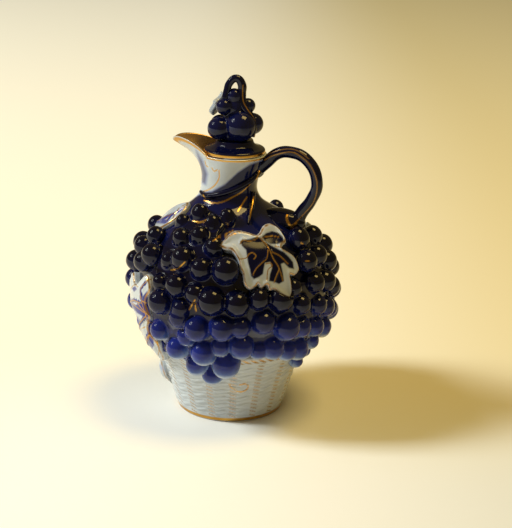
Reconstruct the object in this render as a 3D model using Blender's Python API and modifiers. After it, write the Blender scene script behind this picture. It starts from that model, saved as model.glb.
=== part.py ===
"""Ceramic wine carafe: a hollow vessel with basket foot, leaves and grapes in relief, and a lift-off stopper.

Metres, +Z up. The origin is the middle of the foot, the spout points to -X and the handle to +X.
An azimuth is in degrees about +Z from the handle, a height is above the floor, and a lift is
how far a point stands out from the vessel's wall. A share is a part of a named size.
"""
import math

import bmesh
import bpy
import numpy as np
from mathutils import Matrix, Vector

# Glaze colours, and how matt the glaze is
WHITE = (0.78, 0.82, 0.86)
COBALT = (0.010, 0.012, 0.085)
GLAZE_ROUGHNESS = 0.15
SMOOTH_ANGLE = 50

# Vessel
RIM_HEIGHT = 0.170
RIM_RADIUS = 0.0205
NECK_LENGTH = 0.021
THROAT_HEIGHT = RIM_HEIGHT - NECK_LENGTH
THROAT_RADIUS = 0.0178
BELLY_HEIGHT = 0.085
BELLY_RADIUS = 0.0615
FOOT_RADIUS = 0.0345
WALL = 0.003
LIP_WALL = 0.0023
LIP_ROUNDING = 0.0005
FOOT_RING_WIDTH = 0.004
FOOT_RING_BEVEL = 0.0006
FOOT_RECESS = 0.002
FLOOR_THICKNESS = 0.0035
VESSEL_STEPS = 36

# The wall below the belly, above it, and in the neck: shares of the height and of the change in radius
LOWER_WALL_SHARES = ((0.09, 0.075), (0.35, 0.315), (0.50, 0.485), (0.59, 0.685), (0.71, 0.87), (0.85, 0.98))
UPPER_WALL_SHARES = ((0.0, 0.0), (0.19, 0.04), (0.36, 0.13), (0.52, 0.28), (0.64, 0.46), (0.73, 0.66),
                     (0.80, 0.83), (0.86, 0.93), (0.94, 0.99))
NECK_SHARES = ((0.0, 0.0), (0.25, 0.10), (0.50, 0.32), (0.70, 0.56), (0.86, 0.80))

# The neck stands a little towards the spout, most at its middle: how far, and where that starts, is full
# and goes back, as shares of the height from the belly to the rim
LEAN = 0.0034
LEAN_START_SHARE = 0.435
LEAN_FULL_SHARE = 0.647
LEAN_BACK_SHARE = 0.729

# The spout, drawn out of the neck
SPOUT_REACH = 0.0220
SPOUT_LIFT = 0.0110
SPOUT_TIP_DROP = 0.0065
SPOUT_PINCH_SHARE = 0.35
SPOUT_WIDTH_POWER = 2.5
SPOUT_SWEEP_POWER = 3.2
SPOUT_RISE_POWER = 0.7
SPOUT_TIP_POWER = 3
SPOUT_HALF_ANGLE = 62

# What lies on the vessel. A plate is cut into cells before it is bent round the wall
GAP = 0.0003
SEAT = 0.0003
SLOPE_SPAN = 0.003
PATCH_CELL = 0.2114 * BELLY_RADIUS
THINNING_SHARE = 0.46
WELD = 0.00002
OVERRUN = 0.004

# Handle
HANDLE_RADIUS = 0.0038
HANDLE_TOP_RISE = 0.0041
HANDLE_TOP_REACH = 0.036
HANDLE_REACH = 0.055
HANDLE_BEND_DROP = 0.014
HANDLE_ROOT_DROP = 0.010
HANDLE_END_SHARE = 0.706
HANDLE_END_SINK = 0.0095
HANDLE_FOOT_LENGTH = 0.0165
HANDLE_FOOT_WIDTH = 0.0090
HANDLE_FOOT_DEPTH = 0.0080
HANDLE_FOOT_SHARE = 0.7606
HANDLE_FOOT_SINK = 0.0043
HANDLE_FOOT_TILT = 2

# The handle's middle line: out from the neck's wall to the top, down to the bend, and in to the
# shoulder, as shares of the reach and of the height between those places; then how thick it is
HANDLE_RISE_SHARES = ((-0.25, -0.02), (0.16, 0.42), (0.58, 0.88))
HANDLE_BEND_SHARES = ((0.0, 0.0), (0.62, 0.21), (1.0, 1.0))
HANDLE_FALL_SHARES = ((0.20, 0.31), (0.55, 0.56), (1.0, 1.0))
HANDLE_THICKNESS_SHARES = (1.15, 1.05, 1.0, 1.0, 1.0, 1.0, 1.0, 1.1, 1.3)

# Grapes on the vessel, in shares of the belly that they cover. The pad stands above the places where
# grapes touch, so that no tunnel is left under them
GRAPE_RADIUS = 0.127 * BELLY_RADIUS
GRAPE_LIFT_SHARE = 0.38
PAD_THICKNESS = 0.54 * GRAPE_RADIUS

# Leaves on the vessel
LEAF_THICKNESS = 0.0068
SHOULDER_LEAF_THICKNESS = 0.0028
LOW_LEAF_THICKNESS = 0.0075
BACK_LEAF_THICKNESS = 0.0036
LEAF_CLEARANCE = 0.001
LEAF_HEADROOM = 0.006
SHARP_CORNER_SHARE = 0.5

# The far side has the same leaves and grapes, drawn down towards the basket
FAR_HEIGHT_SHARE = 0.88
FAR_BASE_SHARE = 0.235

# Vines on the neck and shoulder
VINE_RADIUS = 0.0020
STEM_RADIUS = 0.0016
VINE_LIFT = 0.0005
VINE_TIP_SHARE = 0.55

# Stopper
FLANGE_RADIUS = 0.0194
FLANGE_THICKNESS = 0.0034
FLANGE_ROUNDING = 0.0006
CONE_TOP_RADIUS = 0.0115
CONE_HEIGHT = 0.0050
CONE_SIDE_SHARES = ((0.18, 0.45), (0.55, 0.12))
SHANK_TOP_RADIUS = 0.0136
SHANK_END_RADIUS = 0.0112
SHANK_LENGTH = 0.0150
SHANK_WALL = 0.0025
STOPPER_STEPS = 32
STOPPER_FACING = -70

# The knob of grapes, its stem and its leaf: all in shares of the knob's height
KNOB_HEIGHT = 0.050
TOP_GRAPE_RADIUS = 0.12 * KNOB_HEIGHT
STOPPER_STEM_RADIUS = 0.048 * KNOB_HEIGHT
TOP_LEAF_THICKNESS = 0.06 * KNOB_HEIGHT
TOP_LEAF_LENGTH = 0.34 * KNOB_HEIGHT
TOP_LEAF_WIDTH = 0.24 * KNOB_HEIGHT
TOP_LEAF_REACH = 0.26 * KNOB_HEIGHT

# Grapes: azimuth, share of the rim's height, share of the grape radius
FRONT_GRAPE_SHARES = (
    (-107, 0.785, 0.80), (-88, 0.765, 0.75), (-72, 0.785, 0.70), (-122, 0.755, 0.65), (-97, 0.730, 0.80),
    (-83, 0.705, 0.83), (-112, 0.715, 0.80), (-103, 0.660, 1.00), (-114, 0.645, 0.70), (-89, 0.640, 0.92),
    (-74, 0.640, 1.10), (-103, 0.575, 0.95), (-116, 0.570, 0.70), (-91, 0.560, 0.85), (-81, 0.540, 1.15),
    (-67, 0.535, 1.05), (-113, 0.505, 1.05), (-99, 0.500, 0.80), (-100, 0.465, 0.88), (-89, 0.435, 1.05),
    (-75, 0.445, 1.05), (-65, 0.450, 0.85), (-115, 0.395, 0.88), (-104, 0.340, 0.96), (-64, 0.375, 1.05),
    (-86, 0.345, 1.10), (-96, 0.395, 0.80), (-76, 0.370, 0.80), (-73, 0.300, 1.20), (-93, 0.280, 0.96),
    (-83, 0.235, 0.92),
)
RIGHT_GRAPE_SHARES = (
    (-52, 0.465, 1.00), (-38, 0.435, 1.12), (-45, 0.360, 1.00), (-34, 0.335, 0.90), (-25, 0.330, 1.00),
    (-42, 0.540, 1.08), (-54, 0.355, 0.80), (-55, 0.550, 0.92), (-28, 0.505, 0.85), (-27, 0.420, 0.90),
    (-33, 0.570, 0.80),
)
HANDLE_GRAPE_SHARES = (
    (-13, 0.705, 0.92), (-17, 0.640, 0.92), (9, 0.690, 0.85), (-3, 0.640, 0.90), (10, 0.600, 0.95),
    (20, 0.640, 0.92), (-15, 0.565, 0.90), (-2, 0.550, 0.95), (20, 0.560, 0.90), (8, 0.510, 0.92),
    (-13, 0.480, 0.85), (19, 0.480, 0.92), (-3, 0.455, 0.90), (7, 0.430, 0.85), (-14, 0.400, 0.90),
    (18, 0.400, 0.95), (0, 0.370, 0.90), (-9, 0.330, 0.75), (9, 0.345, 0.85), (-11, 0.240, 0.65),
    (-8, 0.285, 0.60),
)
SPOUT_GRAPE_SHARES = (
    (131, 0.640, 0.92), (141, 0.690, 0.80), (151, 0.640, 0.85), (139, 0.605, 0.85), (166, 0.630, 0.88),
    (165, 0.560, 0.92), (170, 0.480, 0.95), (168, 0.400, 0.92), (170, 0.320, 0.85),
)
SPOUT_MIDDLE_GRAPE_SHARES = ((180, 0.675, 0.80), (180, 0.590, 0.95), (180, 0.515, 0.90), (180, 0.440, 0.95),
                             (180, 0.360, 0.90), (180, 0.285, 0.75))

# Outlines on the wall: azimuth, share of the rim's height
FRONT_PAD_SHARES = ((-83, 0.225), (-71, 0.270), (-61, 0.345), (-61, 0.560), (-69, 0.590), (-70, 0.670),
                    (-81, 0.700), (-82, 0.745), (-74, 0.770), (-86, 0.795), (-112, 0.795), (-126, 0.750),
                    (-121, 0.580), (-121, 0.370), (-108, 0.310), (-95, 0.250))
RIGHT_PAD_SHARES = ((-59, 0.350), (-45, 0.325), (-24, 0.305), (-20, 0.330), (-20, 0.570), (-32, 0.590),
                    (-35, 0.550), (-59, 0.550))
HANDLE_PAD_SHARES = ((-18, 0.330), (-13, 0.230), (-8, 0.230), (-4, 0.320), (18, 0.330), (18, 0.700),
                     (8, 0.720), (-8, 0.720), (-18, 0.700))
HALF_SPOUT_PAD_SHARES = ((145, 0.690), (128, 0.680), (128, 0.610), (150, 0.600), (160, 0.560),
                         (163, 0.300), (172, 0.260))
FRONT_LEAF_SHARES = ((-78, 0.725), (-70, 0.705), (-66, 0.680), (-64, 0.625), (-62, 0.590), (-56, 0.603),
                     (-51, 0.604), (-48, 0.660), (-49, 0.582), (-38, 0.556), (-36, 0.592), (-34, 0.655),
                     (-29, 0.630), (-26, 0.680), (-30, 0.715), (-24, 0.755), (-33, 0.776), (-44, 0.768),
                     (-50, 0.758), (-62, 0.766), (-72, 0.752))
SIDE_LEAF_SHARES = ((-128, 0.578), (-122, 0.535), (-126, 0.480), (-122, 0.430), (-127, 0.370), (-121, 0.320),
                    (-131, 0.225), (-143, 0.270), (-148, 0.330), (-141, 0.380), (-154, 0.415), (-160, 0.495),
                    (-150, 0.545), (-140, 0.520))
SHOULDER_LEAF_SHARES = ((-134, 0.765), (-138, 0.738), (-147, 0.708), (-160, 0.695), (-172, 0.700),
                        (-175, 0.735), (-168, 0.775), (-158, 0.795), (-146, 0.805), (-137, 0.792))
LOW_LEAF_SHARES = ((180, 0.055), (170, 0.075), (158, 0.070), (154, 0.120), (160, 0.175), (171, 0.190),
                   (180, 0.205), (189, 0.190), (200, 0.175), (206, 0.120), (202, 0.070), (190, 0.075))

# Paths on the wall: azimuth, share of the rim's height
VINE_PATH_SHARES = ((0, 0.952), (-20, 0.925), (-45, 0.900), (-70, 0.877), (-95, 0.860), (-120, 0.850),
                    (-143, 0.855))
STEM_PATH_SHARES = ((-14, 0.865), (-22, 0.835), (-32, 0.812), (-44, 0.793), (-50, 0.775))

# Stopper pieces: across and toward the viewer as shares of the grape radius, share of the height above
# the rim, and share of the grape radius
TOP_GRAPE_SHARES = (
    (0.00, 0.00, 0.250, 1.50), (0.00, 0.00, 0.430, 1.30), (0.00, 0.00, 0.575, 1.05),
    (-0.15, 0.00, 0.725, 0.85), (-1.70, 0.55, 0.325, 1.22), (0.60, 0.80, 0.360, 1.62),
    (1.85, -0.15, 0.375, 1.15), (-0.30, -1.40, 0.350, 1.35), (-1.60, -0.90, 0.340, 1.05),
    (1.00, -1.40, 0.345, 1.00), (-1.20, 0.50, 0.600, 0.88), (1.30, -0.30, 0.600, 0.82),
    (-0.20, -1.00, 0.590, 0.90),
)
TOP_STEM_SHARES = ((-1.12, 0.20, 0.690, 0.95), (-0.92, 0.08, 0.790, 0.98), (-0.66, 0.00, 0.885, 1.00),
                   (0.05, 0.00, 0.948, 1.05), (0.62, 0.00, 0.870, 1.18), (0.62, 0.05, 0.760, 1.22),
                   (0.72, 0.30, 0.640, 1.15), (1.35, 0.75, 0.520, 0.90), (1.95, 1.05, 0.380, 0.70),
                   (1.85, 1.30, 0.240, 0.60))
TOP_LEAF_SHARES = ((0.0, -0.50), (0.42, -0.28), (0.36, -0.02), (0.50, 0.16), (0.20, 0.28), (0.0, 0.50),
                   (-0.20, 0.28), (-0.50, 0.16), (-0.36, -0.02), (-0.42, -0.28))
TOP_LEAF_AZIMUTH = 170
TOP_LEAF_RISE_SHARE = 0.60
TOP_LEAF_LEAN = 28


def empty_scene():
    for old in list(bpy.data.objects):
        bpy.data.objects.remove(old, do_unlink=True)


def new_collection(name):
    collection = bpy.data.collections.new(name)
    bpy.context.scene.collection.children.link(collection)
    return collection


def glazed(name, colour):
    """The glazed ceramic of one sub-part: its colour as linear red, green and blue."""
    material = bpy.data.materials.new(name + "_glaze")
    material.use_nodes = True
    shader = material.node_tree.nodes["Principled BSDF"]
    shader.inputs["Base Color"].default_value = (*colour, 1)
    shader.inputs["Roughness"].default_value = GLAZE_ROUGHNESS
    shader.inputs["Metallic"].default_value = 0.0
    return material


def mesh_object(name, build, collection, colour=None):
    """An object with the mesh built so far: a sub-part if it has a colour, or else a cutter."""
    mesh = bpy.data.meshes.new(name)
    build.to_mesh(mesh)
    build.free()
    thing = bpy.data.objects.new(name, mesh)
    collection.objects.link(thing)
    if colour:
        mesh.materials.append(glazed(name, colour))
    else:
        thing.hide_render = True
        thing.display_type = "WIRE"
    return thing


def apply_modifiers(thing):
    bpy.ops.object.select_all(action="DESELECT")
    bpy.context.view_layer.objects.active = thing
    thing.select_set(True)
    for modifier in list(thing.modifiers):
        bpy.ops.object.modifier_apply(modifier=modifier.name)
    thing.select_set(False)


def combine(thing, other, operation):
    """A Boolean with another closed mesh, applied."""
    modifier = thing.modifiers.new(operation.lower(), "BOOLEAN")
    modifier.operation = operation
    modifier.solver = "EXACT"
    modifier.use_self = operation == "UNION"
    modifier.object = other
    apply_modifiers(thing)


def shade_round(thing):
    """Smooth shading with the real edges kept sharp."""
    thing.data.shade_smooth()
    thing.data.set_sharp_from_angle(angle=math.radians(SMOOTH_ANGLE))


def thin(thing):
    """Fewer triangles for the same form, less than the gap away from it."""
    modifier = thing.modifiers.new("thin", "DECIMATE")
    modifier.ratio = THINNING_SHARE
    apply_modifiers(thing)


def smooth(share):
    share = min(max(share, 0.0), 1.0)
    return share * share * (3 - 2 * share)


def wall_stations():
    """(radius, height) of the outer wall from foot to rim."""
    stations = [(FOOT_RADIUS, 0.0)]
    for rise, widen in LOWER_WALL_SHARES:
        stations.append((FOOT_RADIUS + widen * (BELLY_RADIUS - FOOT_RADIUS), rise * BELLY_HEIGHT))
    for rise, narrow in UPPER_WALL_SHARES:
        stations.append((BELLY_RADIUS + narrow * (THROAT_RADIUS - BELLY_RADIUS),
                         BELLY_HEIGHT + rise * (THROAT_HEIGHT - BELLY_HEIGHT)))
    for rise, widen in NECK_SHARES:
        stations.append((THROAT_RADIUS + widen * (RIM_RADIUS - THROAT_RADIUS),
                         THROAT_HEIGHT + rise * (RIM_HEIGHT - THROAT_HEIGHT)))
    stations.append((RIM_RADIUS, RIM_HEIGHT))
    return stations


def wall_radius(height):
    radii, heights = zip(*wall_stations())
    return float(np.interp(height, heights, radii))


def beside_wall(height, lift):
    """(radius, height) of the point that stands the lift out from the wall, square to it."""
    widen = wall_radius(height + SLOPE_SPAN) - wall_radius(height - SLOPE_SPAN)
    slope = math.hypot(2 * SLOPE_SPAN, widen)
    return (wall_radius(height) + lift * 2 * SLOPE_SPAN / slope, height - lift * widen / slope)


def leaning(point):
    """The neck's lean towards the spout, for the wall and for all that lies on it."""
    rise = (point.z - BELLY_HEIGHT) / (RIM_HEIGHT - BELLY_HEIGHT)
    start = smooth((rise - LEAN_START_SHARE) / (LEAN_FULL_SHARE - LEAN_START_SHARE))
    end = smooth((1 - rise) / (1 - LEAN_BACK_SHARE))
    return Vector((point.x - LEAN * start * end, point.y, point.z))


def on_wall(azimuth, height_share, lift):
    radius, height = beside_wall(height_share * RIM_HEIGHT, lift)
    angle = math.radians(azimuth)
    return leaning(Vector((radius * math.cos(angle), radius * math.sin(angle), height)))


def pouring(point):
    """The spout: the neck's wall on the -X side drawn out and up, more towards the rim."""
    sweep = smooth_start((point.z - THROAT_HEIGHT) / (RIM_HEIGHT - THROAT_HEIGHT))
    facing = math.atan2(abs(point.y), -point.x)
    width = max(math.cos(facing), 0.0) ** SPOUT_WIDTH_POWER
    near = max(1 - facing / math.radians(SPOUT_HALF_ANGLE), 0.0)
    lift = SPOUT_LIFT * math.sin(math.pi / 2 * near ** SPOUT_RISE_POWER)
    lift -= SPOUT_TIP_DROP * near ** SPOUT_TIP_POWER
    return Vector((point.x - SPOUT_REACH * sweep * width,
                   point.y * (1 - SPOUT_PINCH_SHARE * sweep * width),
                   point.z + lift * sweep))


def smooth_start(share):
    return max(share, 0.0) ** SPOUT_SWEEP_POWER


def turned(name, profile, steps, collection, colour=None):
    """A profile of (radius, height) points, running down the outer side, turned about +Z."""
    build = bmesh.new()
    corners = [build.verts.new((radius, 0, height)) for radius, height in profile]
    for first, second in zip(corners, corners[1:]):
        build.edges.new((first, second))
    thing = mesh_object(name, build, collection, colour)
    screw = thing.modifiers.new("turn", "SCREW")
    screw.steps = steps
    screw.render_steps = steps
    screw.use_merge_vertices = True
    screw.merge_threshold = WELD
    apply_modifiers(thing)
    return thing


def move_points(thing, rule):
    for vertex in thing.data.vertices:
        vertex.co = rule(vertex.co)


def vessel_profile():
    """Up the inner side from the floor's middle, over the lip, down the outer side and under the foot."""
    floor = FOOT_RECESS + FLOOR_THICKNESS
    outer = wall_stations()
    inner = [(0.0, floor), (FOOT_RADIUS - WALL, floor)]
    for radius, height in outer[1:-1:2]:
        wall = WALL if height < THROAT_HEIGHT else LIP_WALL + (WALL - LIP_WALL) * (
            RIM_HEIGHT - height) / (RIM_HEIGHT - THROAT_HEIGHT)
        inner.append(beside_wall(height, -wall))
    inner += [(RIM_RADIUS - LIP_WALL, RIM_HEIGHT - LIP_ROUNDING),
              (RIM_RADIUS - LIP_WALL + LIP_ROUNDING, RIM_HEIGHT),
              (RIM_RADIUS - LIP_ROUNDING, RIM_HEIGHT),
              (RIM_RADIUS, RIM_HEIGHT - LIP_ROUNDING)]
    down = outer[-2:0:-1]
    ring = FOOT_RADIUS - FOOT_RING_WIDTH
    foot = [(FOOT_RADIUS, FOOT_RING_BEVEL), (FOOT_RADIUS - FOOT_RING_BEVEL, 0.0),
            (ring + FOOT_RING_BEVEL, 0.0), (ring, FOOT_RING_BEVEL), (ring, FOOT_RECESS), (0.0, FOOT_RECESS)]
    return inner + down + foot


def make_vessel(collection, colour):
    vessel = turned("vessel", vessel_profile(), VESSEL_STEPS, collection, colour)
    move_points(vessel, lambda point: leaning(pouring(point)))
    return vessel


def make_vessel_space(cutters):
    """The outer wall grown by the gap, closed below and above, to cut whatever lies on the vessel."""
    stations = [beside_wall(height, GAP) for _, height in wall_stations()[1:-1]]
    profile = [(0.0, RIM_HEIGHT), (RIM_RADIUS + GAP, RIM_HEIGHT)] + stations[::-1]
    profile += [(FOOT_RADIUS + GAP, -OVERRUN), (0.0, -OVERRUN)]
    space = turned("vessel_space", profile, VESSEL_STEPS, cutters)
    move_points(space, lambda point: leaning(pouring(point)))
    return space


def tube(name, points, radii, depth, collection, colour=None, resolution=2, steps=3):
    """A curve with filled caps through the points, as a mesh."""
    curve = bpy.data.curves.new(name, "CURVE")
    curve.dimensions = "3D"
    curve.bevel_depth = depth
    curve.bevel_resolution = resolution
    curve.resolution_u = steps
    curve.use_fill_caps = True
    spline = curve.splines.new("BEZIER")
    spline.bezier_points.add(len(points) - 1)
    for knot, point, radius in zip(spline.bezier_points, points, radii):
        knot.co = point
        knot.radius = radius
        knot.handle_left_type = "AUTO"
        knot.handle_right_type = "AUTO"
    guide = bpy.data.objects.new(name + "_curve", curve)
    collection.objects.link(guide)
    graph = bpy.context.evaluated_depsgraph_get()
    mesh = bpy.data.meshes.new_from_object(guide.evaluated_get(graph))
    bpy.data.objects.remove(guide, do_unlink=True)
    build = bmesh.new()
    build.from_mesh(mesh)
    bmesh.ops.remove_doubles(build, verts=build.verts, dist=WELD)
    bmesh.ops.recalc_face_normals(build, faces=build.faces)
    bpy.data.meshes.remove(mesh)
    return mesh_object(name, build, collection, colour)


def between(start, end, shares):
    """Places between two (reach, height) corners, as shares of the way in reach and in height."""
    return [Vector((start[0] + across * (end[0] - start[0]), 0, start[1] + up * (end[1] - start[1])))
            for across, up in shares]


def handle_points():
    """The handle's middle line from inside the neck, over the top and down to the shoulder."""
    root_height = RIM_HEIGHT - HANDLE_ROOT_DROP
    end_height = HANDLE_END_SHARE * RIM_HEIGHT
    root = (wall_radius(root_height), root_height)
    top = (HANDLE_TOP_REACH, RIM_HEIGHT + HANDLE_TOP_RISE)
    bend = (HANDLE_REACH, RIM_HEIGHT - HANDLE_BEND_DROP)
    end = (wall_radius(end_height) - HANDLE_END_SINK, end_height)
    return (between(root, top, HANDLE_RISE_SHARES) + between(top, bend, HANDLE_BEND_SHARES)
            + between(bend, end, HANDLE_FALL_SHARES))


def ball(build, place, radius, pole):
    """A sphere whose top point looks along the pole."""
    turn = Vector((0, 0, 1)).rotation_difference(pole).to_matrix().to_4x4()
    bmesh.ops.create_icosphere(build, subdivisions=2, radius=radius, matrix=Matrix.Translation(place) @ turn)


def make_handle(name, grow, collection, colour=None):
    """The round handle with its swollen foot on the shoulder."""
    handle = tube(name, handle_points(), HANDLE_THICKNESS_SHARES, HANDLE_RADIUS + grow, collection, colour,
                  resolution=3)
    build = bmesh.new()
    lengths = (HANDLE_FOOT_LENGTH + grow, HANDLE_FOOT_WIDTH + grow, HANDLE_FOOT_DEPTH + grow)
    height = HANDLE_FOOT_SHARE * RIM_HEIGHT
    place = (Matrix.Translation((wall_radius(height) - HANDLE_FOOT_SINK, 0, height))
             @ Matrix.Rotation(math.radians(HANDLE_FOOT_TILT), 4, "Y") @ Matrix.Diagonal((*lengths, 1)))
    bmesh.ops.create_uvsphere(build, u_segments=16, v_segments=10, radius=1, matrix=place)
    foot = mesh_object(name + "_foot", build, collection)
    combine(handle, foot, "UNION")
    bpy.data.objects.remove(foot, do_unlink=True)
    return handle


def cut_to_grid(build):
    """Cuts a flat outline into cells, so that it can bend round the vessel."""
    xs = [vertex.co.x for vertex in build.verts]
    ys = [vertex.co.y for vertex in build.verts]
    for axis, low, high in (("x", min(xs), max(xs)), ("y", min(ys), max(ys))):
        count = max(1, round((high - low) / PATCH_CELL))
        for step in range(1, count):
            place = low + (high - low) * step / count
            middle = (place, 0, 0) if axis == "x" else (0, place, 0)
            normal = (1, 0, 0) if axis == "x" else (0, 1, 0)
            bmesh.ops.bisect_plane(build, geom=build.verts[:] + build.edges[:] + build.faces[:], dist=WELD,
                                   plane_co=middle, plane_no=normal)


def patch(name, outline, lift, thickness, collection, colour=None):
    """A plate with the outline's shape, wrapped on the wall at the lift and solid outwards from there."""
    build = bmesh.new()
    corners = [build.verts.new((math.radians(azimuth) * BELLY_RADIUS, share * RIM_HEIGHT, 0))
               for azimuth, share in outline]
    build.faces.new(corners)
    build.normal_update()
    cut_to_grid(build)
    bmesh.ops.triangulate(build, faces=build.faces)
    for vertex in build.verts:
        vertex.co = on_wall(math.degrees(vertex.co.x / BELLY_RADIUS), vertex.co.y / RIM_HEIGHT, lift)
    bmesh.ops.recalc_face_normals(build, faces=build.faces)
    outward = sum((face.normal.dot(face.calc_center_median() * Vector((1, 1, 0))) for face in build.faces))
    if outward < 0:
        bmesh.ops.reverse_faces(build, faces=build.faces)
    thing = mesh_object(name, build, collection, colour)
    solid = thing.modifiers.new("thickness", "SOLIDIFY")
    solid.thickness = thickness
    solid.offset = 1
    solid.use_even_offset = True
    apply_modifiers(thing)
    return thing


def make_grapes(name, grapes, grow, collection):
    """All spheres of a bunch in one mesh, each seated on the wall."""
    build = bmesh.new()
    for azimuth, height_share, size_share in grapes:
        radius = size_share * GRAPE_RADIUS
        place = on_wall(azimuth, height_share, GRAPE_LIFT_SHARE * radius)
        pole = on_wall(azimuth, height_share, radius) - place
        ball(build, place, radius + grow, pole.normalized())
    return mesh_object(name, build, collection)


def make_bunch(name, grapes, outline, grow, collection, colour=None):
    """Grapes joined by a thin pad on the wall."""
    pad = grown_outline(outline, grow)
    bunch = patch(name, pad, -GAP, PAD_THICKNESS + GAP + grow, collection, colour)
    balls = make_grapes(name + "_balls", grapes, grow, collection)
    combine(bunch, balls, "UNION")
    bpy.data.objects.remove(balls, do_unlink=True)
    if not grow:
        thin(bunch)
    return bunch


def grown_outline(outline, distance):
    """The outline with each side moved out by about the distance."""
    corners = [Vector((math.radians(azimuth) * BELLY_RADIUS, share * RIM_HEIGHT))
               for azimuth, share in outline]
    area = sum(a.cross(b) for a, b in zip(corners, corners[1:] + corners[:1]))
    out = []
    for before, here, after in zip(corners[-1:] + corners[:-1], corners, corners[1:] + corners[:1]):
        first = (here - before).normalized()
        second = (after - here).normalized()
        bisector = (Vector((first.y + second.y, -first.x - second.x))).normalized() * (1 if area > 0 else -1)
        spread = max(bisector.dot(Vector((first.y, -first.x)) * (1 if area > 0 else -1)), SHARP_CORNER_SHARE)
        moved = here + bisector * distance / spread
        out.append((math.degrees(moved.x / BELLY_RADIUS), moved.y / RIM_HEIGHT))
    return out


def drawn_down(rows):
    """The same table lower, more so the higher it was."""
    return tuple((row[0], FAR_BASE_SHARE + (row[1] - FAR_BASE_SHARE) * FAR_HEIGHT_SHARE, *row[2:])
                 for row in rows)


def mirrored(rows):
    """The same table on the far side."""
    return tuple((-row[0], *row[1:]) for row in rows)


def far_side(rows):
    return mirrored(drawn_down(rows))


def over_spout(rows):
    """The same table on the other side of the spout."""
    return tuple((360 - row[0], *row[1:]) for row in rows)


def make_leaf(name, outline, thickness, vessel_room, cutters, collection, colour):
    """A leaf in relief, and the room that keeps its neighbours from reaching over it."""
    leaf = patch(name, outline, SEAT, thickness, collection, colour)
    clear(leaf, [vessel_room])
    grown = grown_outline(outline, LEAF_CLEARANCE)
    room = patch(name + "_room", grown, -GAP, thickness + LEAF_HEADROOM, cutters)
    return room


def make_vine(name, path_shares, radius, collection, colour):
    """A round twig along the wall, thinner at its tip."""
    points = [on_wall(azimuth, share, VINE_LIFT) for azimuth, share in path_shares]
    radii = [1.0] * (len(points) - 1) + [VINE_TIP_SHARE]
    return tube(name, points, radii, radius, collection, colour)


def stopper_profile(grow):
    """Down the outer side from the cone's top, over the flange, down the shank and up inside it."""
    seat = RIM_HEIGHT + GAP
    top = seat + FLANGE_THICKNESS
    cone = [(CONE_TOP_RADIUS + out * (FLANGE_RADIUS - CONE_TOP_RADIUS) + grow, top + up * CONE_HEIGHT + grow)
            for out, up in CONE_SIDE_SHARES]
    return [(0.0, top + CONE_HEIGHT + grow), (CONE_TOP_RADIUS, top + CONE_HEIGHT + grow)] + cone + [
        (FLANGE_RADIUS - FLANGE_ROUNDING, top + grow),
        (FLANGE_RADIUS + grow, top - FLANGE_ROUNDING),
        (FLANGE_RADIUS + grow, seat + FLANGE_ROUNDING),
        (FLANGE_RADIUS - FLANGE_ROUNDING, seat),
        (SHANK_TOP_RADIUS, seat),
        (SHANK_END_RADIUS, RIM_HEIGHT - SHANK_LENGTH),
        (SHANK_END_RADIUS - SHANK_WALL, RIM_HEIGHT - SHANK_LENGTH),
        (SHANK_TOP_RADIUS - SHANK_WALL, seat),
        (0.0, top - SHANK_WALL)]


def on_stopper(across, toward, rise):
    """A place above the rim, in shares, as seen from the side that the stopper faces."""
    facing = math.radians(STOPPER_FACING)
    out = Vector((math.cos(facing), math.sin(facing), 0))
    side = Vector((-out.y, out.x, 0))
    place = (side * across + out * toward) * TOP_GRAPE_RADIUS
    place.z = RIM_HEIGHT + rise * KNOB_HEIGHT
    return place


def make_stopper_grapes(name, collection, colour):
    """The knob: grapes piled on the cone and joined into one body."""
    build = bmesh.new()
    for across, toward, rise, size in TOP_GRAPE_SHARES:
        place = on_stopper(across, toward, rise)
        pole = place - on_stopper(0, 0, rise) + Vector((0, 0, WELD))
        ball(build, place, size * TOP_GRAPE_RADIUS, pole)
    grapes = mesh_object(name, build, collection, colour)
    build = bmesh.new()
    bmesh.ops.create_cube(build, size=WELD, matrix=Matrix.Translation(on_stopper(*TOP_GRAPE_SHARES[0][:3])))
    seed = mesh_object(name + "_seed", build, collection)
    combine(grapes, seed, "UNION")
    bpy.data.objects.remove(seed, do_unlink=True)
    thin(grapes)
    return grapes


def make_stopper_stem(name, grow, collection, colour=None):
    points = [on_stopper(*row[:3]) for row in TOP_STEM_SHARES]
    radii = [row[3] for row in TOP_STEM_SHARES]
    return tube(name, points, radii, STOPPER_STEM_RADIUS + grow, collection, colour)


def make_stopper_leaf(name, collection, colour):
    build = bmesh.new()
    corners = [build.verts.new((TOP_LEAF_WIDTH * across, 0, TOP_LEAF_LENGTH * up))
               for across, up in TOP_LEAF_SHARES]
    build.faces.new(corners)
    build.normal_update()
    bmesh.ops.triangulate(build, faces=build.faces)
    leaf = mesh_object(name, build, collection, colour)
    solid = leaf.modifiers.new("thickness", "SOLIDIFY")
    solid.thickness = TOP_LEAF_THICKNESS
    solid.offset = 0
    apply_modifiers(leaf)
    azimuth = math.radians(TOP_LEAF_AZIMUTH)
    place = Vector((TOP_LEAF_REACH * math.cos(azimuth), TOP_LEAF_REACH * math.sin(azimuth),
                    RIM_HEIGHT + TOP_LEAF_RISE_SHARE * KNOB_HEIGHT))
    leaf.data.transform(Matrix.Translation(place) @ Matrix.Rotation(azimuth + math.pi / 2, 4, "Z")
                        @ Matrix.Rotation(-math.radians(TOP_LEAF_LEAN), 4, "X"))
    return leaf


def clear(thing, rooms):
    """Cuts away whatever reaches into the rooms of the pieces made before."""
    for room in rooms:
        combine(thing, room, "DIFFERENCE")


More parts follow.
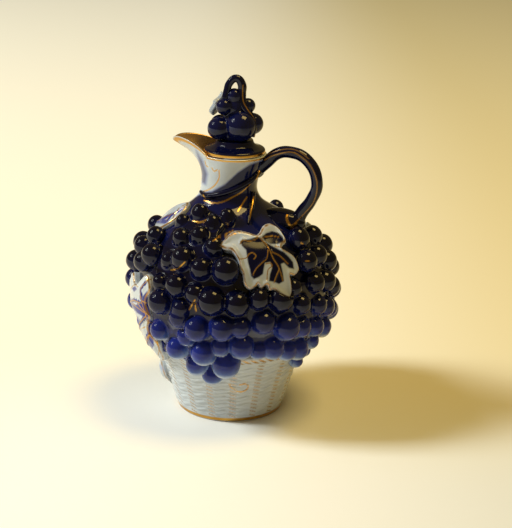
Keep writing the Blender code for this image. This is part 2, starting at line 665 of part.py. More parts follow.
def make_side(side, turn, leaf_thickness, vessel_room, carafe, cutters):
    """The leaves and grapes of one side; returns the rooms that their neighbours keep clear of."""
    rooms = {}
    for name, outline, thickness in (("leaf", FRONT_LEAF_SHARES, leaf_thickness),
                                     ("side_leaf", SIDE_LEAF_SHARES, LEAF_THICKNESS),
                                     ("shoulder_leaf", SHOULDER_LEAF_SHARES, SHOULDER_LEAF_THICKNESS)):
        rooms[name] = make_leaf(f"{side}_{name}", turn(outline), thickness, vessel_room, cutters, carafe, WHITE)
    taken = [vessel_room] + list(rooms.values())
    for name, table, outline in (("grapes", FRONT_GRAPE_SHARES, FRONT_PAD_SHARES),
                                 ("right_grapes", RIGHT_GRAPE_SHARES, RIGHT_PAD_SHARES)):
        bunch = make_bunch(f"{side}_{name}", turn(table), turn(outline), 0.0, carafe, COBALT)
        clear(bunch, taken)
        rooms[name] = make_bunch(f"{side}_{name}_room", turn(table), turn(outline), GAP, cutters)
        taken.append(rooms[name])
    return rooms


def make_spout_grapes(rooms, carafe):
    """The bunch under the spout, which reaches over to both sides."""
    table = drawn_down(SPOUT_GRAPE_SHARES) + SPOUT_MIDDLE_GRAPE_SHARES + over_spout(SPOUT_GRAPE_SHARES)
    outline = drawn_down(HALF_SPOUT_PAD_SHARES) + over_spout(HALF_SPOUT_PAD_SHARES)[::-1]
    bunch = make_bunch("spout_grapes", table, outline, 0.0, carafe, COBALT)
    clear(bunch, rooms)


def make_stopper(carafe, cutters):
    """The lift-off stopper with its knob of grapes, stem and leaf: their origins are on the lifting axis."""
    stopper = turned("stopper", stopper_profile(0.0), STOPPER_STEPS, carafe, COBALT)
    stopper_room = turned("stopper_room", stopper_profile(GAP), STOPPER_STEPS, cutters)
    stem = make_stopper_stem("stopper_stem", 0.0, carafe, COBALT)
    clear(stem, [stopper_room])
    stem_room = make_stopper_stem("stopper_stem_room", GAP, cutters)
    grapes = make_stopper_grapes("stopper_grapes", carafe, COBALT)
    clear(grapes, [stopper_room, stem_room])
    leaf = make_stopper_leaf("stopper_leaf", carafe, WHITE)
    for thing in (stopper, stem, grapes, leaf):
        thing.data.transform(Matrix.Translation((0, 0, -RIM_HEIGHT)))
        thing.location.z = RIM_HEIGHT


def main():
    empty_scene()
    carafe = new_collection("ceramic_wine_carafe")
    cutters = new_collection("cutters")
    make_vessel(carafe, WHITE)
    vessel_room = make_vessel_space(cutters)
    handle = make_handle("handle", 0.0, carafe, COBALT)
    clear(handle, [vessel_room])
    handle_room = make_handle("handle_room", GAP, cutters)
    for side, path in (("front", VINE_PATH_SHARES), ("back", mirrored(VINE_PATH_SHARES))):
        vine = make_vine(f"{side}_vine", path, VINE_RADIUS, carafe, COBALT)
        clear(vine, [vessel_room, handle_room])
    front = make_side("front", tuple, LEAF_THICKNESS, vessel_room, carafe, cutters)
    back = make_side("back", far_side, BACK_LEAF_THICKNESS, vessel_room, carafe, cutters)
    stem = make_vine("front_leaf_stem", STEM_PATH_SHARES, STEM_RADIUS, carafe, COBALT)
    clear(stem, [vessel_room, handle_room, front["leaf"], front["grapes"]])
    low_room = make_leaf("low_leaf", LOW_LEAF_SHARES, LOW_LEAF_THICKNESS, vessel_room, cutters, carafe, WHITE)
    handle_grapes = make_bunch("handle_grapes", HANDLE_GRAPE_SHARES, HANDLE_PAD_SHARES, 0.0, carafe, COBALT)
    clear(handle_grapes, [vessel_room, handle_room] + [side[key] for side in (front, back)
                                                       for key in ("leaf", "right_grapes")])
    make_spout_grapes([vessel_room, low_room] + [side[key] for side in (front, back)
                                                 for key in ("side_leaf", "shoulder_leaf", "grapes")], carafe)
    make_stopper(carafe, cutters)
    for thing in carafe.objects:
        shade_round(thing)


main()
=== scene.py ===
# %% [markdown]
# # A porcelain wine carafe
# The real object is slip-cast porcelain: a hollow vessel whose belly is covered with grapes and vine
# leaves in relief, on a foot that looks like a woven basket. It is painted with cobalt under a clear
# glaze and then gilded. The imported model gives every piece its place. This lesson dresses each one with a
# finer surface and its paint.

# %% Load the frame
import math

import bmesh
import bpy
import numpy as np
from mathutils import Matrix, Vector
from mathutils.bvhtree import BVHTree


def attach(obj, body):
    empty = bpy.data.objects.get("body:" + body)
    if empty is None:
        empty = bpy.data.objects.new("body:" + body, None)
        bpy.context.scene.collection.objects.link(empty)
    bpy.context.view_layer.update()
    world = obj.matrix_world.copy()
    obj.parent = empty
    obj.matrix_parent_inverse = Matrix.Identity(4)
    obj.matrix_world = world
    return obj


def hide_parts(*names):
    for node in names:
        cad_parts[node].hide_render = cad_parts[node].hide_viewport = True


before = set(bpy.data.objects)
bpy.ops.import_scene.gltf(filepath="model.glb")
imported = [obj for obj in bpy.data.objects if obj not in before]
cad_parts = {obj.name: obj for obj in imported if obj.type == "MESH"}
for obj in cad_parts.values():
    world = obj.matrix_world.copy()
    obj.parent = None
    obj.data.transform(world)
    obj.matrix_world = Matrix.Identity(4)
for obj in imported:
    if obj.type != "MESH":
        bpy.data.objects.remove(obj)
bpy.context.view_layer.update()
MM = 0.001

# %% [markdown]
# ## The camera
# The picture was taken from a little above, twenty degrees round from the carafe's side. A camera object
# could be aimed by hand, but here its place is worked out from its distance, height, pitch and roll,
# because the same numbers also tell where a spot in the picture lies on the carafe, and the brush strokes
# need that later.

# %% Camera
PICTURE = (512, 528)
FOCAL_PIXELS = 1423
CAMERA_AZIMUTH = math.radians(20)
CAMERA_DISTANCE = 877 * MM
CAMERA_HEIGHT = 381 * MM
CAMERA_PITCH = math.radians(17.98)
CAMERA_ROLL = math.radians(1.4)
AXIS_PIXEL = 230
SENSOR = 36

eye = np.array((math.sin(CAMERA_AZIMUTH) * CAMERA_DISTANCE, -math.cos(CAMERA_AZIMUTH) * CAMERA_DISTANCE,
                CAMERA_HEIGHT))
yaw = math.atan((PICTURE[0] / 2 - AXIS_PIXEL) / FOCAL_PIXELS * math.cos(CAMERA_PITCH))
heading = math.atan2(-eye[1], -eye[0]) - yaw
forward = np.array((math.cos(heading) * math.cos(CAMERA_PITCH), math.sin(heading) * math.cos(CAMERA_PITCH),
                    -math.sin(CAMERA_PITCH)))
level = np.array((math.sin(heading), -math.cos(heading), 0))
upright = np.cross(level, forward)
rightward = level * math.cos(CAMERA_ROLL) + upright * math.sin(CAMERA_ROLL)
upward = upright * math.cos(CAMERA_ROLL) - level * math.sin(CAMERA_ROLL)

bpy.ops.object.select_all(action="DESELECT")
bpy.ops.object.camera_add()
camera = bpy.context.object
camera.name = "picture_camera"
camera.data.lens = FOCAL_PIXELS / PICTURE[1] * SENSOR
camera.data.sensor_width = SENSOR
camera.data.clip_start = 10 * MM
camera_axes = np.column_stack((rightward, upward, -forward, eye))
camera.matrix_world = Matrix(np.vstack((camera_axes, (0, 0, 0, 1))).tolist())
bpy.context.scene.camera = camera
print("lens in mm:", round(camera.data.lens, 1))


def seen_at(points):
    """Where points show in the picture: their pixels across and down."""
    away = points - eye
    depth = away @ forward
    return np.column_stack((PICTURE[0] / 2 + FOCAL_PIXELS * (away @ rightward) / depth,
                            PICTURE[1] / 2 - FOCAL_PIXELS * (away @ upward) / depth))


def sight(pixel):
    """The direction from the camera through a pixel."""
    way = (forward + rightward * (pixel[0] - PICTURE[0] / 2) / FOCAL_PIXELS
           - upward * (pixel[1] - PICTURE[1] / 2) / FOCAL_PIXELS)
    return way / np.linalg.norm(way)


# %% [markdown]
# ## The wall that everything lies on
# A potter thinks of the belly as one turned outline. The outline is given as shares of the height and of
# the radius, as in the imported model, and then smoothed. Three small functions go from a place on the wall
# to a point in space and back, so that a leaf can be drawn flat and then wrapped.

# %% Outline of the wall
RIM_HEIGHT = 170 * MM
RIM_RADIUS = 20.5 * MM
THROAT_HEIGHT = 149 * MM
THROAT_RADIUS = 17.8 * MM
BELLY_HEIGHT = 85 * MM
BELLY_RADIUS = 61.5 * MM
FOOT_RADIUS = 34.5 * MM
LOWER_WALL_SHARES = ((0.09, 0.075), (0.35, 0.315), (0.50, 0.485), (0.59, 0.685), (0.71, 0.87), (0.85, 0.98))
UPPER_WALL_SHARES = ((0.0, 0.0), (0.19, 0.04), (0.36, 0.13), (0.52, 0.28), (0.64, 0.46), (0.73, 0.66),
                     (0.80, 0.83), (0.86, 0.93), (0.94, 0.99))
NECK_SHARES = ((0.0, 0.0), (0.25, 0.10), (0.50, 0.32), (0.70, 0.56), (0.86, 0.80), (1.0, 1.0))
OUTLINE_STEP = 0.25 * MM
OUTLINE_BLUR = 1.6 * MM
MARGIN = 12 * MM


def part_way(start, end, shares):
    """Stations between two (height, radius) corners, at shares of the way up and the way out."""
    return [(start[0] + rise * (end[0] - start[0]), start[1] + widen * (end[1] - start[1]))
            for rise, widen in shares]


foot_corner, belly_corner = (0.0, FOOT_RADIUS), (BELLY_HEIGHT, BELLY_RADIUS)
throat_corner, rim_corner = (THROAT_HEIGHT, THROAT_RADIUS), (RIM_HEIGHT, RIM_RADIUS)
stations = ([foot_corner] + part_way(foot_corner, belly_corner, LOWER_WALL_SHARES)
            + part_way(belly_corner, throat_corner, UPPER_WALL_SHARES)
            + part_way(throat_corner, rim_corner, NECK_SHARES))
first, last = stations[:2], stations[-2:]
foot_slope = (first[1][1] - first[0][1]) / (first[1][0] - first[0][0])
rim_slope = (last[1][1] - last[0][1]) / (last[1][0] - last[0][0])
stations.insert(0, (-MARGIN, first[0][1] - MARGIN * foot_slope))
stations.append((RIM_HEIGHT + MARGIN, last[1][1] + MARGIN * rim_slope))
wall_heights = np.arange(-MARGIN, RIM_HEIGHT + MARGIN, OUTLINE_STEP)
wall_radii = np.interp(wall_heights, *zip(*stations))
spread = np.arange(-MARGIN / 2, MARGIN / 2 + OUTLINE_STEP, OUTLINE_STEP)
blur = np.exp(-0.5 * (spread / OUTLINE_BLUR) ** 2)
reach = len(spread) // 2
padded = np.pad(wall_radii, reach, mode="reflect", reflect_type="odd")
wall_radii = np.convolve(padded, blur / blur.sum(), "valid")[:len(wall_heights)]
wall_slopes = np.gradient(wall_radii, OUTLINE_STEP)
print("widest radius in mm:", round(wall_radii.max() / MM, 1))

# %% From the wall to space and back
LEAN = 3.4 * MM
LEAN_START_SHARE = 0.435
LEAN_FULL_SHARE = 0.647
LEAN_BACK_SHARE = 0.729


def smooth(share):
    """A soft step from 0 to 1."""
    share = np.clip(share, 0, 1)
    return share * share * (3 - 2 * share)


def lean_at(height):
    """How far the neck stands over towards the spout."""
    rise = (height - BELLY_HEIGHT) / (RIM_HEIGHT - BELLY_HEIGHT)
    start = smooth((rise - LEAN_START_SHARE) / (LEAN_FULL_SHARE - LEAN_START_SHARE))
    return LEAN * start * smooth((1 - rise) / (1 - LEAN_BACK_SHARE))


def on_wall(azimuth, height, lift):
    """Points at an azimuth in radians from the handle, a height on the wall, and a lift square to it."""
    slope = np.interp(height, wall_heights, wall_slopes)
    square = np.hypot(1, slope)
    radius = np.interp(height, wall_heights, wall_radii) + lift / square
    tall = height - lift * slope / square
    return np.column_stack((radius * np.cos(azimuth) - lean_at(tall), radius * np.sin(azimuth), tall))


def off_wall(points):
    """The azimuth, height and lift of points: on_wall the other way round."""
    across = points[:, 0] + lean_at(points[:, 2])
    azimuth = np.arctan2(points[:, 1], across)
    radius = np.hypot(across, points[:, 1])
    height = points[:, 2].copy()
    for _ in range(8):
        slope = np.interp(height, wall_heights, wall_slopes)
        lift = (radius - np.interp(height, wall_heights, wall_radii)) * np.hypot(1, slope)
        nearer = np.clip(points[:, 2] + lift * slope / (1 + slope ** 2), -MARGIN, RIM_HEIGHT + MARGIN)
        height = 0.5 * height + 0.5 * nearer
    slope = np.interp(height, wall_heights, wall_slopes)
    out = radius - np.interp(height, wall_heights, wall_radii)
    return azimuth, height, (out - (points[:, 2] - height) * slope) / np.hypot(1, slope)


NEAREST_WALL, FARTHEST_WALL, RAY_STEP = 600 * MM, 1100 * MM, 0.5 * MM


def pixels_on_wall(pixels, lift):
    """Where the camera's rays through some pixels meet the wall at a lift: (azimuth, height) of each."""
    found = []
    for pixel in pixels:
        steps = eye + sight(pixel) * np.arange(NEAREST_WALL, FARTHEST_WALL, RAY_STEP)[:, None]
        steps = steps[(steps[:, 2] > 0) & (steps[:, 2] < RIM_HEIGHT)]
        radius = np.hypot(steps[:, 0] + lean_at(steps[:, 2]), steps[:, 1])
        slope = np.interp(steps[:, 2], wall_heights, wall_slopes)
        above = radius - np.interp(steps[:, 2], wall_heights, wall_radii) - lift * np.hypot(1, slope)
        inside = np.argmax(above < 0) if (above < 0).any() else np.argmin(above)
        azimuth, height, _ = off_wall(steps[inside:inside + 1])
        found.append((azimuth[0], height[0]))
    return np.array(found)


trial_heights, trial_lifts = np.array((30, 110, 150)) * MM, np.array((4, 6, 1)) * MM
there_and_back = off_wall(on_wall(np.radians((-30.0, 60.0, 175.0)), trial_heights, trial_lifts))[1:]
print("wall there and back, mm:", [np.round(values / MM, 2).tolist() for values in there_and_back])

# %% [markdown]
# ## Small helpers of the workshop
# Everything below is modelled with the operators that a hand would use, so the selection has to be right
# before each one. Points can be read and written all at once as a table, which is how the wrapping and
# the carving go.

# %% Selecting, editing, finishing


def only(thing):
    """This object alone is selected and active."""
    bpy.ops.object.select_all(action="DESELECT")
    thing.select_set(True)
    bpy.context.view_layer.objects.active = thing


def begin_edit(thing, action="DESELECT"):
    only(thing)
    bpy.ops.object.mode_set(mode="EDIT")
    bpy.ops.mesh.select_all(action=action)


def end_edit():
    bpy.ops.object.mode_set(mode="OBJECT")


def points_of(thing):
    flat = np.empty(len(thing.data.vertices) * 3)
    thing.data.vertices.foreach_get("co", flat)
    return flat.reshape(-1, 3)


def set_points(thing, points):
    thing.data.vertices.foreach_set("co", np.ascontiguousarray(points).ravel())
    thing.data.update()


def normals_of(thing):
    flat = np.empty(len(thing.data.vertices) * 3)
    thing.data.vertices.foreach_get("normal", flat)
    return flat.reshape(-1, 3)


def apply_modifier(thing, kind, **settings):
    """Adds a modifier with its settings and applies it."""
    modifier = thing.modifiers.new(kind.lower(), kind)
    for name, value in settings.items():
        setattr(modifier, name, value)
    only(thing)
    bpy.ops.object.modifier_apply(modifier=modifier.name)


def join(things, name):
    bpy.ops.object.select_all(action="DESELECT")
    for thing in things:
        thing.select_set(True)
    bpy.context.view_layer.objects.active = things[0]
    bpy.ops.object.join()
    things[0].name = name
    things[0].data.name = name
    return things[0]


def finish_piece(thing, name, body, nodes, material):
    """Names a piece, puts its place in its mesh, shades it round, gives it its material, hangs it under its
    body and hides the imported parts that it stands for.
    """
    thing.name = name
    thing.data.name = name
    only(thing)
    bpy.ops.object.transform_apply(location=True, rotation=True, scale=True)
    bpy.ops.object.shade_smooth()
    thing.data.materials.clear()
    thing.data.materials.append(material)
    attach(thing, body)
    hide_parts(*nodes)
    size = np.ptp(points_of(thing), axis=0)
    print(f"{name}: {len(thing.data.polygons)} faces, mm {np.round(size / MM, 1).tolist()}")


# %% [markdown]
# ## Glaze, cobalt and gold
# Porcelain is a white, dense body under a clear fired glaze: very smooth, with an index of refraction of
# 1.5, so it mirrors the window in a small bright spot. Its shine is set a little lower than a plain glaze
# has, because the real piece keeps deep blacks beside a pale table. The cobalt is painted on before the
# glaze, so it is just as glossy, and where it is thin the white shows through as a milky blue. The
# leaves' raised rims are rubbed a little dull. The gold is burnished metal on top of the glaze, laid on
# by brush, so it is uneven and redder where it is worn. All pieces share this one recipe. How much cobalt
# and gold lies on a spot is painted on each mesh as an attribute: a picture texture could do it too, but
# an attribute needs no unwrapping and stays with the shape.

# %% The recipe
WHITE_BODY = "#c8ced2"
SHADED_BODY = "#b2bac4"
# The leaves' white is greyer and bluer than the vessel's: partly a thin cobalt tint, partly painted shade.
LEAF_BODY_AND_SHADE = "#b9c1cd"
LEAF_CLOUDS_AND_SHADE = "#98a3b5"
COBALT_THICK = "#02020c"
COBALT_MIDDLE = "#1e2b82"
COBALT_LIGHT = "#4c62a0"
COBALT_THIN = "#92a6cc"
GOLD = "#dcae4c"
GOLD_RED = "#a87434"
WINDOW_SHINE, LEAF_SHINE = 0.34, 0.2
WHITE_ROUGHNESS, COBALT_ROUGHNESS, LEAF_ROUGHNESS, GOLD_ROUGHNESS = 0.07, 0.05, 0.16, 0.28
GLAZE_WAVES = 7 * MM
WAVE_HEIGHT, WAVE_STRENGTH = 0.3 * MM, 0.25
CLOUDS = 9 * MM
SPRAY_UNEVENNESS = 0.35


def linear(hexes):
    """An sRGB hex colour as linear red, green, blue and alpha."""
    parts = [int(hexes[place:place + 2], 16) / 255 for place in (1, 3, 5)]
    return [part / 12.92 if part <= 0.04045 else ((part + 0.055) / 1.055) ** 2.4 for part in parts] + [1.0]


def node(tree, kind, inputs=None, **settings):
    """Adds a node with its own settings. Inputs are values or other nodes' outputs, by socket."""
    made = tree.nodes.new(kind)
    for name, value in settings.items():
        setattr(made, name, value)
    for socket, value in (inputs or {}).items():
        if isinstance(value, bpy.types.NodeSocket):
            tree.links.new(value, made.inputs[socket])
        else:
            made.inputs[socket].default_value = value
    return made


def glazed_porcelain(name, body, shaded, shine, smoothest):
    """White body, cobalt from thick to thin, gold on top: read from the attributes cobalt, pale and gilt."""
    material = bpy.data.materials.new(name)
    material.use_nodes = True
    tree = material.node_tree
    tree.nodes.clear()
    place = node(tree, "ShaderNodeTexCoord").outputs["Object"]
    clouds = node(tree, "ShaderNodeTexNoise", {"Vector": place, "Scale": 1 / CLOUDS, "Detail": 3}).outputs[0]
    fine = node(tree, "ShaderNodeTexNoise", {"Vector": place, "Scale": 4 / CLOUDS, "Detail": 2}).outputs[0]
    cobalt = node(tree, "ShaderNodeAttribute", attribute_name="cobalt").outputs["Fac"]
    pale = node(tree, "ShaderNodeAttribute", attribute_name="pale").outputs["Fac"]
    gilt = node(tree, "ShaderNodeAttribute", attribute_name="gilt").outputs["Fac"]
    white = node(tree, "ShaderNodeMix", {"Factor": clouds, "A": linear(body), "B": linear(shaded)},
                 data_type="RGBA").outputs["Result"]
    uneven = node(tree, "ShaderNodeMath", {0: fine, 1: SPRAY_UNEVENNESS}, operation="MULTIPLY").outputs[0]
    density = node(tree, "ShaderNodeMath", {0: pale, 1: uneven, 2: pale}, operation="MULTIPLY_ADD").outputs[0]
    blue = node(tree, "ShaderNodeValToRGB", {"Fac": density})
    blue.color_ramp.elements[0].color = linear(COBALT_THICK)
    blue.color_ramp.elements[1].color = linear(COBALT_THIN)
    for share, hexes in ((0.35, COBALT_MIDDLE), (0.7, COBALT_LIGHT)):
        blue.color_ramp.elements.new(share).color = linear(hexes)
    painted = node(tree, "ShaderNodeMix", {"Factor": cobalt, "A": white, "B": blue.outputs["Color"]},
                   data_type="RGBA").outputs["Result"]
    gold = node(tree, "ShaderNodeMix", {"Factor": clouds, "A": linear(GOLD), "B": linear(GOLD_RED)},
                data_type="RGBA").outputs["Result"]
    colour = node(tree, "ShaderNodeMix", {"Factor": gilt, "A": painted, "B": gold},
                  data_type="RGBA").outputs["Result"]
    rough = node(tree, "ShaderNodeMapRange", {"Value": gilt, "To Min": smoothest, "To Max": GOLD_ROUGHNESS})
    waves = node(tree, "ShaderNodeTexNoise", {"Vector": place, "Scale": 1 / GLAZE_WAVES, "Detail": 1})
    bump = node(tree, "ShaderNodeBump", {"Height": waves.outputs[0], "Strength": WAVE_STRENGTH,
                                         "Distance": WAVE_HEIGHT})
    shader = node(tree, "ShaderNodeBsdfPrincipled", {
        "Base Color": colour, "Metallic": gilt, "Roughness": rough.outputs["Result"],
        "Normal": bump.outputs["Normal"], "IOR": 1.5, "Specular IOR Level": shine})
    node(tree, "ShaderNodeOutputMaterial", {"Surface": shader.outputs["BSDF"]})
    return material


body = (WHITE_BODY, SHADED_BODY)
white_glaze = glazed_porcelain("glazed_porcelain_white", *body, WINDOW_SHINE, WHITE_ROUGHNESS)
cobalt_glaze = glazed_porcelain("glazed_porcelain_cobalt", *body, WINDOW_SHINE, COBALT_ROUGHNESS)
leaf_porcelain = glazed_porcelain("glazed_porcelain_leaf", LEAF_BODY_AND_SHADE, LEAF_CLOUDS_AND_SHADE, LEAF_SHINE, LEAF_ROUGHNESS)
print("materials:", white_glaze.name, cobalt_glaze.name, leaf_porcelain.name)

# %% [markdown]
# ## The painter's tools
# A brush stroke is drawn in the picture as a row of pixels. The camera's ray through each pixel finds the
# spot on the piece, and all points of the mesh near that path take the paint. A patch is filled the same
# way. The far side is painted with the mirror image, as the carafe has the same relief on both sides.

# %% Brush and fill
STROKE_EDGE = 0.30 * MM
STROKE_STEP = 0.4
THICK_COAT, KNOB_COAT = 0.02, 0.04


def layer(thing, name, values=None):
    """Writes a paint layer, or reads it where no values are given."""
    kept = thing.data.attributes.get(name) or thing.data.attributes.new(name, "FLOAT", "POINT")
    if values is not None:
        kept.data.foreach_set("value", np.clip(values, 0, 1).astype(np.float32))
        return values
    flat = np.empty(len(thing.data.vertices), dtype=np.float32)
    kept.data.foreach_get("value", flat)
    return flat.astype(float)


def cobalt_all_over(thing, pale):
    """One even coat of cobalt, as on rolls and knobs, with no gilt yet."""
    count = len(thing.data.vertices)
    layer(thing, "cobalt", np.ones(count))
    layer(thing, "pale", np.full(count, pale))
    layer(thing, "gilt", np.zeros(count))


def along(corners, step):
    """Evenly close places along a row of corners."""
    corners = np.array(corners, dtype=float)
    sides = np.linalg.norm(np.diff(corners, axis=0), axis=1)
    way = np.concatenate(((0,), np.cumsum(sides)))
    at = np.linspace(0, way[-1], max(2, int(way[-1] / step) + 1))
    return np.column_stack([np.interp(at, way, corners[:, axis]) for axis in range(corners.shape[1])])


def rounded(corners, closed=False, parts=6):
    """A smooth curve through the corners."""
    corners = np.array(corners, dtype=float)
    count = len(corners)
    rows = []
    for place in range(count if closed else count - 1):
        four = [corners[(place + shift) % count] if closed else corners[min(max(place + shift, 0), count - 1)]
                for shift in (-1, 0, 1, 2)]
        for part in np.arange(parts) / parts:
            rows.append(0.5 * (2 * four[1] + (four[2] - four[0]) * part
                               + (2 * four[0] - 5 * four[1] + 4 * four[2] - four[3]) * part ** 2
                               + (3 * four[1] - four[0] - 3 * four[2] + four[3]) * part ** 3))
    if not closed:
        rows.append(corners[-1])
    return np.array(rows)


def surface(thing):
    """The mesh as a tree that a ray can be shot at."""
    mesh = bmesh.new()
    mesh.from_mesh(thing.data)
    tree = BVHTree.FromBMesh(mesh)
    mesh.free()
    return tree


def spots(tree, pixels):
    """Where the picture's pixels lie on a piece."""
    path = along(rounded(pixels), STROKE_STEP)
    hits = [tree.ray_cast(Vector(eye), Vector(sight(pixel)))[0] for pixel in path]
    return np.array([hit for hit in hits if hit is not None]).reshape(-1, 3)


def stroke(thing, name, path, width, strength=1.0):
    """Paints along points in space."""
    if len(path) == 0:
        return
    points = points_of(thing)
    near = np.all((points > path.min(0) - width) & (points < path.max(0) + width), axis=1)
    if not near.any():
        return
    gaps = np.full(near.sum(), np.inf)
    for spot in path:
        gaps = np.minimum(gaps, np.linalg.norm(points[near] - spot, axis=1))
    paint = layer(thing, name)
    paint[near] = np.maximum(paint[near], strength * np.clip((width / 2 - gaps) / STROKE_EDGE + 0.5, 0, 1))
    layer(thing, name, paint)


def gild_both_sides(thing, path, width, strength=1.0):
    """A gilt line and its mirror image on the far side."""
    for side in (1, -1):
        stroke(thing, "gilt", path * (1, side, 1), width, strength)


def within(places, outline):
    """Which places lie inside a closed outline, and how far each is from its edge."""
    outline = np.array(outline, dtype=float)
    inside = np.zeros(len(places), dtype=bool)
    gap = np.full(len(places), np.inf)
    for start, end in zip(outline, np.roll(outline, -1, axis=0)):
        side = end - start
        if start[1] != end[1]:
            crosses = (start[1] > places[:, 1]) != (end[1] > places[:, 1])
            inside ^= crosses & (places[:, 0] < start[0] + side[0] * (places[:, 1] - start[1]) / side[1])
        share = np.clip(((places - start) @ side) / max(side @ side, 1e-12), 0, 1)
        gap = np.minimum(gap, np.linalg.norm(places - start - share[:, None] * side, axis=1))
    return inside, gap


def filled(pixels_seen, outline, edge):
    """How much paint each seen place takes from a patch with a soft edge, in pixels."""
    inside, gap = within(pixels_seen, outline)
    return np.clip(np.where(inside, gap, -gap) / edge + 0.5, 0, 1)


# %% [markdown]
# ## The vessel
# The real vessel is cast in a mould taken from a turned and carved model. It could be a cylinder that is
# scaled ring by ring, but one outline spun round the axis keeps every ring exact. So a single point is
# extruded along the outline, from the floor inside, over the lip, down the outer side and under the foot,
# and then spun. The spout is pulled out of the neck as in clay, and the basket's weave is raised on the
# lower wall.

# %% Outline of the vessel
WALL = 3 * MM
LIP_WALL = 2.3 * MM
LIP_ROUNDING = 0.5 * MM
FOOT_RING_WIDTH = 4 * MM
FOOT_RECESS = 2 * MM
FLOOR_THICKNESS = 3.5 * MM
ROUND_STEPS = 384
BASKET_RING = 0.55 * MM
BELLY_RING = 2.4 * MM
NECK_RING = 0.62 * MM
BASKET_TOP = 51 * MM
NECK_BOTTOM = 128 * MM
FLOOR = FOOT_RECESS + FLOOR_THICKNESS

outer_heights = np.concatenate((
    np.arange(1.0 * MM, BASKET_TOP, BASKET_RING), np.arange(BASKET_TOP, NECK_BOTTOM, BELLY_RING),
    np.arange(NECK_BOTTOM, RIM_HEIGHT - 0.8 * MM, NECK_RING)))
outer = [(float(np.interp(height, wall_heights, wall_radii)), float(height)) for height in outer_heights]
inner = []
for height in np.concatenate((np.arange(9 * MM, 120 * MM, 6 * MM), np.arange(120 * MM, 168 * MM, 2 * MM))):
    slope = float(np.interp(height, wall_heights, wall_slopes))
    to_rim = (RIM_HEIGHT - height) / (RIM_HEIGHT - THROAT_HEIGHT)
    thick = WALL if height < THROAT_HEIGHT else LIP_WALL + (WALL - LIP_WALL) * to_rim
    inner.append((float(np.interp(height, wall_heights, wall_radii)) - thick / math.hypot(1, slope),
                  height + thick * slope / math.hypot(1, slope)))
inner = [corner for corner in inner if corner[1] > FLOOR + 2 * MM]
lip = [(RIM_RADIUS - LIP_WALL + LIP_ROUNDING * (1 - math.cos(turn)),
        RIM_HEIGHT - LIP_ROUNDING * (1 - math.sin(turn))) for turn in np.linspace(0, math.pi / 2, 4)]
lip += [(RIM_RADIUS - LIP_ROUNDING * (1 - math.sin(turn)), RIM_HEIGHT - LIP_ROUNDING * (1 - math.cos(turn)))
        for turn in np.linspace(0, math.pi / 2, 4)]
ring = FOOT_RADIUS - FOOT_RING_WIDTH
foot = [(FOOT_RADIUS - 0.1 * MM, 0.45 * MM), (FOOT_RADIUS - 0.6 * MM, 0), (ring + 0.6 * MM, 0),
        (ring, 0.6 * MM), (ring, FOOT_RECESS), (ring / 2, FOOT_RECESS), (0, FOOT_RECESS)]
inside_floor = [(0, FLOOR), (FOOT_RADIUS / 2, FLOOR), (FOOT_RADIUS - WALL - 3 * MM, FLOOR),
                (FOOT_RADIUS - WALL - 0.8 * MM, FLOOR + 0.8 * MM)]
outline = inside_floor + inner + lip + outer[::-1] + foot
print("outline points:", len(outline))

# %% Extrude the outline and spin it


def spun(corners, steps):
    """A closed turned form: one point extruded along the corners and spun about the upright axis."""
    bpy.ops.object.select_all(action="DESELECT")
    bpy.ops.mesh.primitive_plane_add(size=MM)
    thing = bpy.context.object
    begin_edit(thing, "SELECT")
    bpy.ops.mesh.merge(type="CENTER")
    bpy.ops.transform.translate(value=(corners[0][0], 0, corners[0][1]))
    for before, after in zip(corners, corners[1:]):
        bpy.ops.mesh.extrude_region_move(
            TRANSFORM_OT_translate={"value": (after[0] - before[0], 0, after[1] - before[1])})
    bpy.ops.mesh.select_all(action="SELECT")
    bpy.ops.mesh.spin(steps=steps, angle=2 * math.pi, center=(0, 0, 0), axis=(0, 0, 1), use_auto_merge=False)
    bpy.ops.mesh.select_all(action="SELECT")
    bpy.ops.mesh.remove_doubles(threshold=0.01 * MM)
    bpy.ops.mesh.normals_make_consistent(inside=False)
    end_edit()
    return thing


vessel = spun(outline, ROUND_STEPS)
turned_points = points_of(vessel)
print("vessel faces:", len(vessel.data.polygons))

# %% Where each point of the turned vessel lies
azimuth = np.arctan2(turned_points[:, 1], turned_points[:, 0])
radius = np.hypot(turned_points[:, 0], turned_points[:, 1])
height = turned_points[:, 2]
wall_there = np.interp(height, wall_heights, wall_radii)
outside = (radius > wall_there - 0.3 * MM) & (height > 0.9 * MM)
print("points on the outer side:", int(outside.sum()), "of", len(outside))

# %% The basket's weave
STAKES = 17
STAKE_TURN = math.radians(-4)
STRAND = 2.75 * MM
WEAVE_BOTTOM = 3.4 * MM
WEAVE_TOP = 45.6 * MM
WEAVE_DEPTH = 1.0 * MM
BRAID_HEIGHT = 48.2 * MM
BRAID_WIDTH = 2.3 * MM
BRAID_TURNS = 64
BRAID_DEPTH = 1.1 * MM
BRAID_SLANT = 2.2
STRAND_SWAY = 0.25
LOW_STRAND_SHARE = 0.55
WEAVE_FADE = 0.8 * MM

turn_share = (azimuth - STAKE_TURN) / (2 * math.pi) * STAKES
stake_side = np.cos(2 * math.pi * turn_share)
sway = STRAND_SWAY * np.sin(2 * math.pi * turn_share)
row = (height - WEAVE_BOTTOM) / STRAND + sway
across_strand = row % 1 * 2 - 1
over = 0.5 + 0.5 * stake_side * np.where(np.floor(row) % 2 == 0, 1, -1)
strand = np.sqrt(np.clip(1 - across_strand ** 2, 0, 1))
strand *= LOW_STRAND_SHARE + (1 - LOW_STRAND_SHARE) * smooth(over)
weave_mask = smooth((height - WEAVE_BOTTOM) / WEAVE_FADE) * smooth((WEAVE_TOP - height) / WEAVE_FADE)
weave = WEAVE_DEPTH * (strand - 0.6) * weave_mask
braid_across = (height - BRAID_HEIGHT) / BRAID_WIDTH
twist = np.abs(np.sin(BRAID_TURNS / 2 * azimuth + BRAID_SLANT * braid_across))
braid = np.sqrt(np.clip(1 - braid_across ** 2, 0, 1)) * (0.5 + 0.5 * twist) * BRAID_DEPTH
